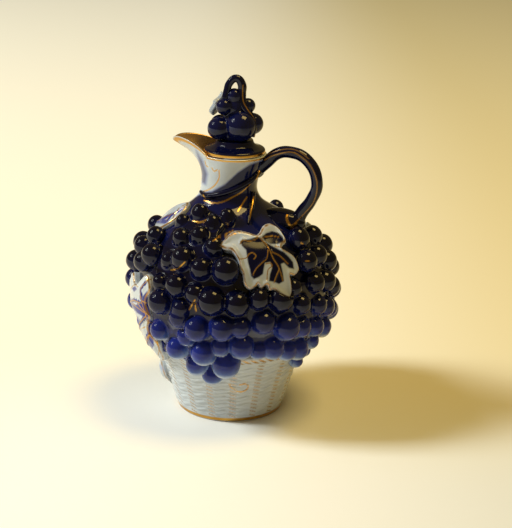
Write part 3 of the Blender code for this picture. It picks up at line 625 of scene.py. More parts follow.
relief = np.where(outside, weave + braid, 0)
shaped = turned_points.copy()
shaped[:, 0] += relief * np.cos(azimuth)
shaped[:, 1] += relief * np.sin(azimuth)
print("weave stands out mm:", round(relief.max() / MM, 2))

# %% The spout and the lean
SPOUT_REACH = 22 * MM
SPOUT_LIFT = 11 * MM
SPOUT_TIP_DROP = 6.5 * MM
SPOUT_PINCH_SHARE = 0.35
SPOUT_WIDTH_POWER = 2.5
SPOUT_SWEEP_POWER = 3.2
SPOUT_RISE_POWER = 0.7
SPOUT_TIP_POWER = 3
SPOUT_HALF_ANGLE = math.radians(62)


def pouring(points):
    """The neck's wall on the spout's side drawn out and up, more towards the rim."""
    rise = np.clip((points[:, 2] - THROAT_HEIGHT) / (RIM_HEIGHT - THROAT_HEIGHT), 0, None)
    sweep = rise ** SPOUT_SWEEP_POWER
    facing = np.arctan2(np.abs(points[:, 1]), -points[:, 0])
    width = np.clip(np.cos(facing), 0, None) ** SPOUT_WIDTH_POWER
    near = np.clip(1 - facing / SPOUT_HALF_ANGLE, 0, None)
    lift = SPOUT_LIFT * np.sin(math.pi / 2 * near ** SPOUT_RISE_POWER)
    lift -= SPOUT_TIP_DROP * near ** SPOUT_TIP_POWER
    pinch = 1 - SPOUT_PINCH_SHARE * sweep * width
    return np.column_stack((points[:, 0] - SPOUT_REACH * sweep * width, points[:, 1] * pinch,
                            points[:, 2] + lift * sweep))


shaped = pouring(shaped)
shaped[:, 0] -= lean_at(shaped[:, 2])
set_points(vessel, shaped)
print("the spout reaches mm:", round(-shaped[height > THROAT_HEIGHT, 0].min() / MM, 1))

# %% [markdown]
# ### Painting the vessel
# The basket stays white with small gilt dabs where a strand crosses a stake. Between the grapes the wall
# is cobalt, and on the neck the cobalt is sprayed below a slanting line. Under the spout, on the neck's
# left, a dark patch of thick cobalt is painted shade. The lip and the foot carry a gilt ring, and the
# spout's inside is washed with a golden lustre.

# %% Paint on the vessel
NECK_COBALT_EDGE = (
    (150, 200), (196, 196), (203, 192), (212, 191), (225, 184), (238, 172), (250, 164), (262, 160),
    (290, 158),
)
# A dark patch under the spout, on the neck's left: painted shade, laid on as thick cobalt with little white
# showing.
NECK_PAINTED_SHADE = ((196, 150), (203, 160), (208, 174), (206, 185), (201, 183), (199, 168))
NECK_GILT = (
    ((205, 161), (206, 165), (208, 167)), ((212, 168), (214, 171), (217, 170)),
    ((219, 170), (219, 178), (215, 185), (208, 190), (200, 192)),
    ((175, 141), (184, 146), (190, 151), (197, 164), (201, 180)),
)
BASKET_GILT = (((229, 384), (233, 389), (240, 392), (246, 390), (248, 386), (245, 384), (240, 385)),)
SHOULDER_GILT_SPOTS = (
    ((262, 163), (259, 172), (252, 182), (243, 191), (233, 197), (222, 202), (212, 203), (204, 200)),
    ((226, 222), (228, 226)), ((238, 211), (243, 203), (247, 197)), ((219, 239), (226, 234), (233, 231)),
)
PAINT_FROM = 50.3 * MM
NECK_FROM = 120 * MM
GILT_LINE = 0.8 * MM
GILT_EDGE = 0.3 * MM
mirrored = shaped * np.where(shaped[:, 1:2] > 0, (1, -1, 1), (1, 1, 1))
seen = seen_at(mirrored)
below = np.clip((seen[:, 1] - np.interp(seen[:, 0], *zip(*NECK_COBALT_EDGE))) / 3 + 0.5, 0, 1)
cobalt = np.where(height > NECK_FROM, below, smooth((height - PAINT_FROM) / (1.2 * MM)))
# Painted shade under the spout: the patch takes thick, dark cobalt.
shade = filled(seen, NECK_PAINTED_SHADE, 4) * (height > 140 * MM)
cobalt = np.maximum(cobalt, 0.8 * shade)
cobalt = np.where(outside, cobalt, 0)
layer(vessel, "cobalt", cobalt)
layer(vessel, "pale", np.where(height > NECK_FROM, 0.06 + 0.8 * (1 - below) * (1 - 0.9 * shade), 0.02))
dab_column = np.abs((turn_share + 0.5 + 0.13 * (row % 1 - 0.5)) % 1 - 0.5) * 2 * math.pi / STAKES * radius
dab = np.clip((2.3 * MM - dab_column) / (0.5 * MM), 0, 1)
dab *= np.clip((0.42 - np.abs(across_strand + 0.1)) / 0.18, 0, 1)
dab *= (height > WEAVE_BOTTOM) * (height < WEAVE_TOP) * 0.6
braid_gilt = 0.9 * np.clip(1.25 - np.abs(braid_across), 0, 1) * np.clip((twist - 0.6) / 0.15, 0, 1)
braid_gilt *= np.abs(height - BRAID_HEIGHT) < BRAID_WIDTH
foot_gilt = np.clip((1.3 * MM - np.abs(height - 1.9 * MM)) / GILT_EDGE, 0, 1)
rim_gilt = np.clip((0.75 * MM - np.abs(height - RIM_HEIGHT + 0.9 * MM)) / GILT_EDGE, 0, 1)
on_lip = radius > RIM_RADIUS - LIP_WALL * 0.65
gilt = np.where(outside, np.maximum.reduce((dab, braid_gilt, foot_gilt, rim_gilt)), 0)
gilt = np.maximum(gilt, np.where(on_lip & (height > RIM_HEIGHT - 1.2 * MM), rim_gilt, 0))
washed = ~outside & (height > 155 * MM) & (turned_points[:, 0] < 0)
gilt = np.maximum(gilt, np.where(washed, 0.85 * smooth((height - 158 * MM) / (4 * MM)), 0))
layer(vessel, "gilt", gilt)
vessel_surface = surface(vessel)
for pixels in NECK_GILT + BASKET_GILT + SHOULDER_GILT_SPOTS:
    gild_both_sides(vessel, spots(vessel_surface, pixels), GILT_LINE)
finish_piece(vessel, "vessel_shell", "carafe", ["vessel"], white_glaze)

# %% [markdown]
# ## Grapes
# In the real mould each grape is a ball pressed into the wall, and the glaze pools in the hollows between
# them. Balls alone would meet in hard creases. So one ball is made and copied, the copies and a thin pad
# are joined and remeshed into one skin, and then each point of the skin is moved onto a soft union of the
# balls: a distance that blends where two balls are close, which leaves a small round fillet as the glaze
# does.

# %% Tables of grapes: azimuth in degrees, share of the rim's height, share of the grape's radius
GRAPE_RADIUS = 0.127 * BELLY_RADIUS
GRAPE_LIFT_SHARE = 0.38
PAD_THICKNESS = 0.36 * GRAPE_RADIUS
GLAZE_POOL = 0.55 * MM
POOL_SHARE = 0.35
SETTLING_ROUNDS = 4
UNDER_LEAF = 2.6 * MM
SKIN_CELL = 0.62 * MM
SUNK = 0.6 * MM
FAR_HEIGHT_SHARE = 0.88
FAR_BASE_SHARE = 0.235
FRONT_GRAPE_SHARES = (
    (-107, 0.785, 0.80), (-88, 0.765, 0.75), (-72, 0.785, 0.70), (-122, 0.755, 0.65), (-97, 0.730, 0.80),
    (-83, 0.705, 0.83), (-112, 0.715, 0.80), (-103, 0.660, 1.00), (-114, 0.645, 0.70), (-89, 0.640, 0.92),
    (-74, 0.640, 1.10), (-103, 0.575, 0.95), (-116, 0.570, 0.70), (-91, 0.560, 0.85), (-81, 0.540, 1.15),
    (-67, 0.535, 1.05), (-113, 0.505, 1.05), (-99, 0.500, 0.80), (-100, 0.465, 0.88), (-89, 0.435, 1.05),
    (-75, 0.445, 1.05), (-65, 0.450, 0.85), (-115, 0.395, 0.88), (-104, 0.340, 0.96), (-64, 0.375, 1.05),
    (-86, 0.345, 1.10), (-96, 0.395, 0.80), (-76, 0.370, 0.80), (-73, 0.300, 1.20), (-93, 0.280, 0.96),
    (-83, 0.235, 0.92),
)
RIGHT_GRAPE_SHARES = (
    (-52, 0.465, 1.00), (-38, 0.435, 1.12), (-45, 0.360, 1.00), (-34, 0.335, 0.90), (-25, 0.330, 1.00),
    (-42, 0.540, 1.08), (-54, 0.355, 0.80), (-55, 0.550, 0.92), (-28, 0.505, 0.85), (-27, 0.420, 0.90),
    (-33, 0.570, 0.80),
)
HANDLE_GRAPE_SHARES = (
    (-13, 0.705, 0.92), (-17, 0.640, 0.92), (9, 0.690, 0.85), (-3, 0.640, 0.90), (10, 0.600, 0.95),
    (20, 0.640, 0.92), (-15, 0.565, 0.90), (-2, 0.550, 0.95), (20, 0.560, 0.90), (8, 0.510, 0.92),
    (-13, 0.480, 0.85), (19, 0.480, 0.92), (-3, 0.455, 0.90), (7, 0.430, 0.85), (-14, 0.400, 0.90),
    (18, 0.400, 0.95), (0, 0.370, 0.90), (-9, 0.330, 0.75), (9, 0.345, 0.85), (-11, 0.240, 0.65),
    (-8, 0.285, 0.60),
)
SPOUT_GRAPE_SHARES = (
    (131, 0.640, 0.92), (141, 0.690, 0.80), (151, 0.640, 0.85), (139, 0.605, 0.85), (166, 0.630, 0.88),
    (165, 0.560, 0.92), (170, 0.480, 0.95), (168, 0.400, 0.92), (170, 0.320, 0.85),
)
SPOUT_MIDDLE_GRAPE_SHARES = ((180, 0.675, 0.80), (180, 0.590, 0.95), (180, 0.515, 0.90), (180, 0.440, 0.95),
                             (180, 0.360, 0.90), (180, 0.285, 0.75))
FRONT_PAD_SHARES = ((-83, 0.225), (-71, 0.270), (-61, 0.345), (-61, 0.560), (-69, 0.590), (-70, 0.670),
                    (-81, 0.700), (-82, 0.745), (-74, 0.770), (-86, 0.795), (-112, 0.795), (-126, 0.750),
                    (-121, 0.580), (-121, 0.370), (-108, 0.310), (-95, 0.250))
RIGHT_PAD_SHARES = ((-63, 0.350), (-45, 0.325), (-24, 0.305), (-17, 0.330), (-17, 0.570), (-32, 0.590),
                    (-35, 0.550), (-63, 0.550))
HANDLE_PAD_SHARES = ((-18, 0.330), (-13, 0.230), (-8, 0.230), (-4, 0.320), (18, 0.330), (18, 0.700),
                     (8, 0.720), (-8, 0.720), (-18, 0.700))
HALF_SPOUT_PAD_SHARES = ((145, 0.690), (128, 0.680), (128, 0.610), (150, 0.600), (160, 0.560),
                         (163, 0.300), (172, 0.260))


def drawn_down(rows):
    """The same table lower, more so the higher it was."""
    return tuple((turn, FAR_BASE_SHARE + (share - FAR_BASE_SHARE) * FAR_HEIGHT_SHARE, *rest)
                 for turn, share, *rest in rows)


def far_side(rows):
    return tuple((-row[0], *row[1:]) for row in drawn_down(rows))


def over_spout(rows):
    return tuple((360 - row[0], *row[1:]) for row in rows)


print("grapes on one side:", len(FRONT_GRAPE_SHARES) + len(RIGHT_GRAPE_SHARES))

# %% Leaves first say where grapes have to keep low
SIDE_LEAF_SHARES = ((-128, 0.578), (-122, 0.535), (-126, 0.480), (-122, 0.430), (-127, 0.370), (-121, 0.320),
                    (-131, 0.225), (-143, 0.270), (-148, 0.330), (-141, 0.380), (-154, 0.415), (-160, 0.495),
                    (-150, 0.545), (-140, 0.520))
SHOULDER_LEAF_SHARES = ((-134, 0.765), (-138, 0.738), (-147, 0.708), (-160, 0.695), (-172, 0.700),
                        (-175, 0.735), (-168, 0.775), (-158, 0.795), (-146, 0.805), (-137, 0.792))
LOW_LEAF_SHARES = ((180, 0.055), (170, 0.075), (158, 0.070), (154, 0.120), (160, 0.175), (171, 0.190),
                   (180, 0.205), (189, 0.190), (200, 0.175), (206, 0.120), (202, 0.070), (190, 0.075))
FRONT_LEAF_PIXELS = (
    (258, 236), (250, 234), (238, 232), (230, 235), (224, 241), (219, 247), (226, 251), (232, 252),
    (238, 260), (240, 269), (243, 275), (244, 284), (249, 290), (256, 287), (258, 284), (261, 289),
    (267, 285), (269, 291), (274, 290), (279, 294), (285, 297), (290, 298), (292, 291), (291, 281),
    (290, 275), (294, 276), (299, 271), (298, 264), (294, 257), (288, 252), (282, 248), (287, 243),
    (285, 236), (279, 229), (271, 225), (264, 228),
)


def flat_places(table):
    """A table of azimuths and shares as places on the unrolled wall."""
    return np.array([(math.radians(row[0]) * BELLY_RADIUS, row[1] * RIM_HEIGHT) for row in table])


def unrolled(azimuth, height):
    return np.column_stack((azimuth * BELLY_RADIUS, height))


front_leaf_line = unrolled(*pixels_on_wall(FRONT_LEAF_PIXELS, 5.5 * MM).T)
back_leaf_line = np.column_stack((-front_leaf_line[:, 0], (
    FAR_BASE_SHARE * RIM_HEIGHT + (front_leaf_line[:, 1] - FAR_BASE_SHARE * RIM_HEIGHT) * FAR_HEIGHT_SHARE)))
leaf_lines = {
    "front_leaf": rounded(front_leaf_line, closed=True, parts=3),
    "front_side_leaf": rounded(flat_places(SIDE_LEAF_SHARES), closed=True),
    "front_shoulder_leaf": rounded(flat_places(SHOULDER_LEAF_SHARES), closed=True),
    "back_leaf": rounded(back_leaf_line, closed=True, parts=3),
    "back_side_leaf": rounded(flat_places(far_side(SIDE_LEAF_SHARES)), closed=True),
    "back_shoulder_leaf": rounded(flat_places(far_side(SHOULDER_LEAF_SHARES)), closed=True),
    "low_leaf": rounded(flat_places(LOW_LEAF_SHARES), closed=True),
}
LEAF_TOPS = {
    "front_leaf": 6.4 * MM, "front_side_leaf": 6.2 * MM, "front_shoulder_leaf": 2.8 * MM,
    "back_leaf": 3.8 * MM, "back_side_leaf": 6.2 * MM, "back_shoulder_leaf": 2.8 * MM, "low_leaf": 7.0 * MM,
}
print("front leaf in mm:", np.round((front_leaf_line.max(0) - front_leaf_line.min(0)) / MM, 1).tolist())

# %% A plate cut to an outline, wrapped on the wall


def plate(line, low, high, cell, name):
    """A flat plate of even cells in the outline's shape, between two lifts, still unrolled."""
    bpy.ops.object.select_all(action="DESELECT")
    bpy.ops.mesh.primitive_circle_add(vertices=len(line), radius=1, fill_type="NGON", location=(0, 0, 0))
    thing = bpy.context.object
    thing.name = name
    for vertex, corner in zip(thing.data.vertices, line):
        vertex.co = (corner[0], corner[1], low)
    begin_edit(thing, "SELECT")
    bpy.ops.mesh.normals_make_consistent(inside=False)
    bpy.ops.mesh.extrude_region_move(TRANSFORM_OT_translate={"value": (0, 0, high - low)})
    bpy.ops.mesh.select_all(action="SELECT")
    bpy.ops.mesh.normals_make_consistent(inside=False)
    end_edit()
    apply_modifier(thing, "REMESH", mode="VOXEL", voxel_size=cell)
    return thing


def wrap(thing):
    """Bends an unrolled plate round the wall."""
    flat = points_of(thing)
    set_points(thing, on_wall(flat[:, 0] / BELLY_RADIUS, flat[:, 1], flat[:, 2]))


# %% One grape, copied
bpy.ops.object.select_all(action="DESELECT")
bpy.ops.mesh.primitive_ico_sphere_add(subdivisions=3, radius=1)
grape = bpy.context.object
grape.name = "grape_pattern"


def toward_union(ways, gaps):
    """How far each point is off a soft union, and which way is out: near surfaces count for more."""
    least = gaps.min(axis=1, keepdims=True)
    weights = np.exp(-(gaps - least) / GLAZE_POOL)
    total = weights.sum(axis=1, keepdims=True)
    gap = least[:, 0] - GLAZE_POOL * np.log(total[:, 0]) + GLAZE_POOL * POOL_SHARE
    return gap, (ways * (weights / total)[:, :, None]).sum(axis=1)


def moved(points, way, step):
    """Points after a step against a way, which is no longer than one where surfaces meet."""
    return points - (step / np.maximum((way ** 2).sum(axis=1), 0.3))[:, None] * way


def bunch(name, table, pad_line):
    """Grapes and their pad as one soft skin. Returns the piece, the balls' middles and their radii."""
    rows = np.array(table, dtype=float)
    sizes = rows[:, 2] * GRAPE_RADIUS
    middles = on_wall(np.radians(rows[:, 0]), rows[:, 1] * RIM_HEIGHT, GRAPE_LIFT_SHARE * sizes)
    pad = plate(pad_line, -SUNK, PAD_THICKNESS, SKIN_CELL * 2, name)
    wrap(pad)
    parts = [pad]
    for middle, size in zip(middles, sizes):
        copy = grape.copy()
        copy.data = grape.data.copy()
        copy.matrix_world = Matrix.Translation(middle) @ Matrix.Diagonal((size, size, size, 1))
        bpy.context.collection.objects.link(copy)
        parts.append(copy)
    skin = join(parts, name)
    only(skin)
    bpy.ops.object.transform_apply(location=True, rotation=True, scale=True)
    apply_modifier(skin, "REMESH", mode="VOXEL", voxel_size=SKIN_CELL)
    points = points_of(skin)
    for _ in range(SETTLING_ROUNDS):
        azimuths, heights, lifts = off_wall(points)
        away = points[:, None, :] - middles[None, :, :]
        reach = np.linalg.norm(away, axis=2)
        outward = (on_wall(azimuths, heights, lifts + MM) - points) / MM
        ways = np.concatenate((away / np.maximum(reach, 1e-9)[:, :, None], outward[:, None, :]), axis=1)
        gap, way = toward_union(ways, np.column_stack((reach - sizes, lifts - PAD_THICKNESS)))
        free = lifts > PAD_THICKNESS * 0.8
        points = moved(points, way, np.where(free, np.clip(gap, -SKIN_CELL, SKIN_CELL), 0))
    azimuths, heights, lifts = off_wall(points)
    lifts = np.maximum(lifts, -SUNK)
    flat = unrolled(azimuths, heights)
    for key, line in leaf_lines.items():
        for turn in (-1, 0, 1):
            shifted = flat + (turn * 2 * math.pi * BELLY_RADIUS, 0)
            near = np.all((shifted > line.min(0)) & (shifted < line.max(0)), axis=1)
            if near.any():
                inside, _ = within(shifted[near], line)
                chosen = np.flatnonzero(near)[inside]
                lifts[chosen] = np.minimum(lifts[chosen], LEAF_TOPS[key] - UNDER_LEAF)
    set_points(skin, on_wall(azimuths, heights, lifts))
    return skin, middles, sizes


# %% [markdown]
# ### Cobalt on the grapes
# The painter sprays the grapes from above, so the top of each is nearly black and the underside is
# thinner. Low on the belly the spray hardly reaches the undersides, and the white body shows as a milky
# rim. These pale undersides are partly thin spray and partly painted reflection of the pale floor below.

# %% Paint on a bunch
LOW_GRAPES = 50 * MM
HIGH_GRAPES = 92 * MM
SPRAY_OUT = 0.70
SPRAY_DOWN = 0.71
SPRAY_FULL, SPRAY_FADE = 0.85, 1.35
POOL_COAT = 0.3
POOL_REACH = 0.8 * MM
HIGH_THIN, LOW_THIN = 0.01, 0.24
HIGH_MISSED_AND_REFLECTION, LOW_MISSED_AND_REFLECTION = 0.07, 0.62


def paint_bunch(skin, middles, sizes):
    """Cobalt and its thinness on a bunch: thick from above and in the hollows, thin low down and below, where
    the paleness is partly painted reflection of the floor.
    """
    points = points_of(skin)
    away = points[:, None, :] - middles[None, :, :]
    reach = np.linalg.norm(away, axis=2)
    nearest = np.argmin(reach - sizes, axis=1)
    offset = away[np.arange(len(points)), nearest] / sizes[nearest, None]
    outward = middles[:, :2] / np.linalg.norm(middles[:, :2], axis=1, keepdims=True)
    spray = np.column_stack((outward * SPRAY_OUT, np.full(len(middles), SPRAY_DOWN)))[nearest]
    low = 1 - smooth((middles[nearest, 2] - LOW_GRAPES) / (HIGH_GRAPES - LOW_GRAPES))
    # Undersides turned away from the spray are paler: partly thin spray, partly painted reflection of the
    # floor.
    missed_and_floor_reflection = smooth((SPRAY_FULL - (offset * spray).sum(axis=1)) / SPRAY_FADE)
    # Low grapes lose cobalt underneath: a milky rim, partly painted reflection of the floor.
    layer(skin, "cobalt", np.clip(1 - 0.7 * low * smooth((-offset[:, 2] - 0.45) / 0.5), 0, 1))
    on_grape = smooth(1 - (reach - sizes).min(axis=1) / POOL_REACH)
    thinness = HIGH_THIN + LOW_THIN * low + missed_and_floor_reflection * (HIGH_MISSED_AND_REFLECTION + LOW_MISSED_AND_REFLECTION * low)
    layer(skin, "pale", (POOL_COAT + (1 - POOL_COAT) * on_grape) * thinness)
    layer(skin, "gilt", np.zeros(len(points)))


bunches = {}
for name, table, pad_table in (
        ("front_grapes", FRONT_GRAPE_SHARES, FRONT_PAD_SHARES),
        ("front_right_grapes", RIGHT_GRAPE_SHARES, RIGHT_PAD_SHARES),
        ("back_grapes", far_side(FRONT_GRAPE_SHARES), far_side(FRONT_PAD_SHARES)),
        ("back_right_grapes", far_side(RIGHT_GRAPE_SHARES), far_side(RIGHT_PAD_SHARES)),
        ("handle_grapes", HANDLE_GRAPE_SHARES, HANDLE_PAD_SHARES),
        ("spout_grapes", drawn_down(SPOUT_GRAPE_SHARES) + SPOUT_MIDDLE_GRAPE_SHARES
         + over_spout(SPOUT_GRAPE_SHARES),
         drawn_down(HALF_SPOUT_PAD_SHARES) + over_spout(HALF_SPOUT_PAD_SHARES)[::-1])):
    skin, middles, sizes = bunch(name + "_skin", table, flat_places(pad_table))
    paint_bunch(skin, middles, sizes)
    bunches[name] = skin
bpy.data.objects.remove(grape, do_unlink=True)

# %% Gilt crescents on the grapes, and two painted highlights
# The last two strokes, on the near right bunch, are painted highlights laid on as gilt; the others are gilt
# crescents.
GRAPE_GILT_AND_HIGHLIGHTS = (
    ((193, 221), (199, 222), (206, 220)), ((198, 223), (204, 222)), ((145, 236), (150, 237), (156, 236)),
    ((147, 238), (153, 238)), ((150, 251), (155, 250), (160, 252)),
    ((171, 270), (177, 269), (181, 266), (185, 262)), ((189, 310), (192, 305), (195, 300)),
    ((195, 303), (196, 311)), ((226, 223), (228, 225)), ((213, 241), (218, 237), (222, 233)),
    ((148, 277), (146, 283), (144, 288)), ((301, 243), (303, 244)), ((306, 261), (309, 261)),
)
for name in ("front_grapes", "front_right_grapes", "handle_grapes"):
    tree = surface(bunches[name])
    for pixels in GRAPE_GILT_AND_HIGHLIGHTS:
        stroke(bunches[name], "gilt", spots(tree, pixels), GILT_LINE)
for name, skin in bunches.items():
    finish_piece(skin, name + "_skin", "carafe", [name], cobalt_glaze)

# %% [markdown]
# ## Vine leaves
# A leaf in the mould is a slab of clay with lobes, whose rim curls up round a hollow, and the veins stand
# up in the hollow. A grid pulled into shape point by point would be slow and its lobes would be coarse.
# So a leaf is cut as a plate of small even cells, carved while it is flat, and then wrapped on the wall.
# The near large leaf is filled with cobalt and keeps a white rim. The others stay white with blue strokes
# along their veins.

# %% Carve a leaf
LEAF_CELL = 0.42 * MM
RIM_WIDTH = 3.0 * MM
RIM_DEPTH_SHARE = 0.17
EDGE_ROUNDING = 0.9 * MM
DOME_WIDTH = 5 * MM
VEIN_HEIGHT = 0.55 * MM
VEIN_WIDTH = 0.65 * MM


def leaf(name, veins, dome, thin, wash, taper=0):
    """A carved leaf on the wall: soft lobes, a hollow, veins, a blue wash along them and a gilt edge."""
    line, top = leaf_lines[name], LEAF_TOPS[name]
    thing = plate(line, -SUNK, top, LEAF_CELL, name + "_relief")
    apply_modifier(thing, "SMOOTH", factor=0.5, iterations=4)
    flat = points_of(thing)
    _, gap = within(flat[:, :2], line)
    vein_gap = np.full(len(flat), np.inf)
    for vein in veins:
        for spot in along(vein, 0.4 * MM):
            vein_gap = np.minimum(vein_gap, np.linalg.norm(flat[:, :2] - spot, axis=1))
    upper = smooth((flat[:, 2] - 0.3 * top) / (0.5 * top))
    hollow = smooth(gap / RIM_WIDTH - 0.2) * RIM_DEPTH_SHARE * top
    edge_drop = EDGE_ROUNDING * np.exp(-(gap / (0.8 * MM)) ** 2)
    ridge = VEIN_HEIGHT * np.exp(-(vein_gap / VEIN_WIDTH) ** 2) * smooth(gap / MM)
    flat[:, 2] += upper * (ridge - hollow - edge_drop - dome * (1 - smooth(gap / DOME_WIDTH)))
    if taper:
        fullness = 0.1 + 0.9 * smooth((flat[:, 1] - line[:, 1].min()) / taper)
        flat[:, 2] *= np.where(flat[:, 2] > 0, fullness, 1)
    in_hollow = smooth(gap / MM - 1.2) * upper
    uneven = 1 + 0.4 * np.sin(flat[:, 0] * 1.7 / MM) * np.sin(flat[:, 1] * 1.3 / MM)
    layer(thing, "cobalt", in_hollow * np.clip((wash * uneven - vein_gap) / (0.6 * MM), 0, 1))
    layer(thing, "pale", np.full(len(flat), thin))
    worn = 0.65 + 0.35 * np.sin(flat[:, 0] * 0.9 / MM) * np.sin(flat[:, 1] * 0.7 / MM)
    edge_gilt = worn * np.clip((0.6 * MM - np.abs(gap - 0.7 * MM)) / (0.4 * MM), 0, 1)
    vein_gilt = (wash > 0) * np.clip((0.45 * MM - vein_gap) / GILT_EDGE, 0, 1)
    layer(thing, "gilt", upper * np.maximum(edge_gilt, vein_gilt))
    set_points(thing, flat)
    wrap(thing)
    return thing


def paint_leaf(thing, patches, strength, edge, gilt_lines, width):
    """Cobalt patches and gilt lines as they are seen in the picture."""
    seen = seen_at(points_of(thing))
    facing = normals_of(thing) @ -forward > 0.05
    patched = strength * facing * np.maximum.reduce([filled(seen, patch, edge) for patch in patches])
    layer(thing, "cobalt", np.maximum(layer(thing, "cobalt"), patched))
    tree = surface(thing)
    for pixels in gilt_lines:
        stroke(thing, "gilt", spots(tree, pixels), width)


def far_leaf(near, name, line_name, material):
    """The near leaf mirrored and drawn down for the far side, with its own thickness."""
    far = near.copy()
    far.data = near.data.copy()
    bpy.context.collection.objects.link(far)
    azimuths, heights, lifts = off_wall(points_of(far))
    base = FAR_BASE_SHARE * RIM_HEIGHT
    thinner = LEAF_TOPS[line_name] / LEAF_TOPS[line_name.replace("back", "front")]
    set_points(far, on_wall(-azimuths, base + (heights - base) * FAR_HEIGHT_SHARE,
                            np.where(lifts > 0, lifts * thinner, lifts)))
    begin_edit(far, "SELECT")
    bpy.ops.mesh.flip_normals()
    end_edit()
    finish_piece(far, name, "carafe", [line_name], material)


# %% Veins, patches and gilt lines of each leaf, as pixels of the picture
FRONT_VEINS = (
    ((258, 237), (254, 240), (248, 241), (243, 240), (240, 244)),
    ((260, 238), (268, 247), (273, 258), (278, 266), (281, 274), (283, 281)),
    ((268, 250), (267, 258), (262, 263), (256, 269), (253, 275)),
    ((279, 270), (276, 277), (274, 283)), ((272, 252), (280, 256), (288, 264)),
    ((262, 238), (270, 236), (279, 237)),
)
FRONT_COBALT = (
    ((257, 237), (250, 239), (243, 240), (240, 241), (242, 246), (246, 250), (247, 256), (248, 263),
     (250, 270), (251, 276), (254, 279), (259, 277), (263, 274), (264, 268), (265, 263), (270, 262),
     (272, 268), (270, 274), (269, 281), (274, 282), (279, 284), (284, 281), (283, 273), (281, 264),
     (284, 263), (289, 268), (294, 269), (293, 262), (289, 257), (284, 252), (276, 248), (267, 243),
     (261, 238)),
    ((262, 237), (266, 233), (272, 231), (279, 233), (283, 237), (284, 242), (278, 244), (270, 244),
     (265, 241)),
)
FRONT_GILT = (
    ((240, 259), (246, 258), (249, 254), (253, 253), (256, 256), (254, 259)),
    ((267, 280), (268, 270), (272, 266), (270, 263), (266, 264)), ((219, 247), (226, 251), (232, 251)),
    ((243, 274), (243, 282), (246, 288), (250, 290), (256, 287), (258, 285)), ((260, 289), (266, 285)),
    ((267, 290), (270, 293), (274, 290), (278, 294), (285, 297), (289, 298)),
    ((293, 275), (297, 274), (298, 271)), ((275, 246), (279, 247), (285, 247)),
    ((230, 236), (234, 234), (240, 233)),
)
SIDE_VEINS = (
    ((148, 279), (141, 289), (142, 303), (146, 316), (150, 332), (148, 345)),
    ((142, 303), (135, 300), (128, 303)), ((146, 316), (139, 326), (134, 333)), ((150, 332), (156, 338)),
)
SIDE_COBALT = (
    ((130, 301), (136, 305), (142, 301), (142, 297), (147, 291), (148, 299), (148, 304), (151, 316),
     (146, 318), (137, 313), (132, 307)),
    ((132, 288), (135, 286), (137, 289), (134, 292)),
    ((129, 320), (134, 315), (138, 317), (141, 325), (140, 329), (136, 332), (131, 331)),
    ((147, 318), (154, 322), (153, 335), (154, 345), (151, 352), (146, 348), (144, 341), (147, 333),
     (148, 325)),
    ((161, 341), (166, 339), (171, 346), (170, 352), (163, 352)),
)
SIDE_GILT = (
    ((132, 303), (139, 309), (148, 315)), ((137, 302), (142, 309), (147, 313)), ((142, 301), (146, 303)),
    ((136, 332), (141, 329), (145, 327)), ((142, 340), (149, 336), (151, 331)),
    ((142, 351), (147, 342), (149, 336)), ((157, 341), (159, 348), (158, 356)),
    ((144, 355), (150, 358), (157, 358)), ((130, 290), (134, 285), (138, 287)),
    ((147, 279), (150, 286), (149, 293)),
)
SHOULDER_VEINS = (((184, 208), (174, 214), (163, 218), (155, 221)), ((170, 216), (166, 222)))
SHOULDER_COBALT = (((156, 218), (163, 218), (169, 221), (164, 224), (157, 223)),)
SHOULDER_GILT = (
    ((152, 224), (158, 228), (165, 225), (171, 221), (175, 214), (179, 208)),
    ((182, 206), (190, 202), (196, 199)), ((153, 219), (160, 213), (170, 209)),
)
LOW_VEINS = (((180, 0.195), (180, 0.13), (180, 0.075)), ((180, 0.14), (170, 0.12), (163, 0.09)),
             ((180, 0.14), (190, 0.12), (197, 0.09)))
LOW_COBALT = (((155, 363), (161, 364), (166, 369), (165, 372), (161, 370), (160, 378), (156, 377)),)


def unrolled_pixels(rows, lift):
    """Rows of the picture's pixels as places on the unrolled wall."""
    return [unrolled(*pixels_on_wall(pixels, lift).T) for pixels in rows]


# %% The leaves in relief
for name, material, (veins, lift), (dome, thin, wash), (patches, strength, edge), (gilt_lines, width) in (
        ("leaf", leaf_porcelain, (FRONT_VEINS, 5 * MM), (0, 0.02, 0), (FRONT_COBALT, 1.0, 1.2),
         (FRONT_GILT + FRONT_VEINS, 0.5 * MM)),
        ("side_leaf", white_glaze, (SIDE_VEINS, 5 * MM), (1.8 * MM, 0.3, 1.6 * MM), (SIDE_COBALT, 1.0, 1.2),
         (SIDE_GILT, 0.7 * MM)),
        ("shoulder_leaf", leaf_porcelain, (SHOULDER_VEINS, 2.5 * MM), (0, 0.3, 2 * MM),
         (SHOULDER_COBALT, 0.9, 2.0), (SHOULDER_GILT, 0.9 * MM))):
    made = leaf("front_" + name, unrolled_pixels(veins, lift), dome, thin, wash)
    paint_leaf(made, patches, strength, edge, gilt_lines, width)
    far_leaf(made, f"back_{name}_relief", "back_" + name, material)
    finish_piece(made, f"front_{name}_relief", "carafe", ["front_" + name], material)
made = leaf("low_leaf", [flat_places(row) for row in LOW_VEINS], 3.2 * MM, 0.8, 1.4 * MM, 12 * MM)
paint_leaf(made, LOW_COBALT, 0.65, 2.5, (), 0)
finish_piece(made, "low_leaf_relief", "carafe", ["low_leaf"], white_glaze)

# %% [markdown]
# ## Handle, vines and the leaf's stem
# These are rolls of clay laid on the wall. A curve with a round section could stay a curve, but the paint
# needs points, so each curve becomes a mesh. The handle and its swollen foot are remeshed into one piece.

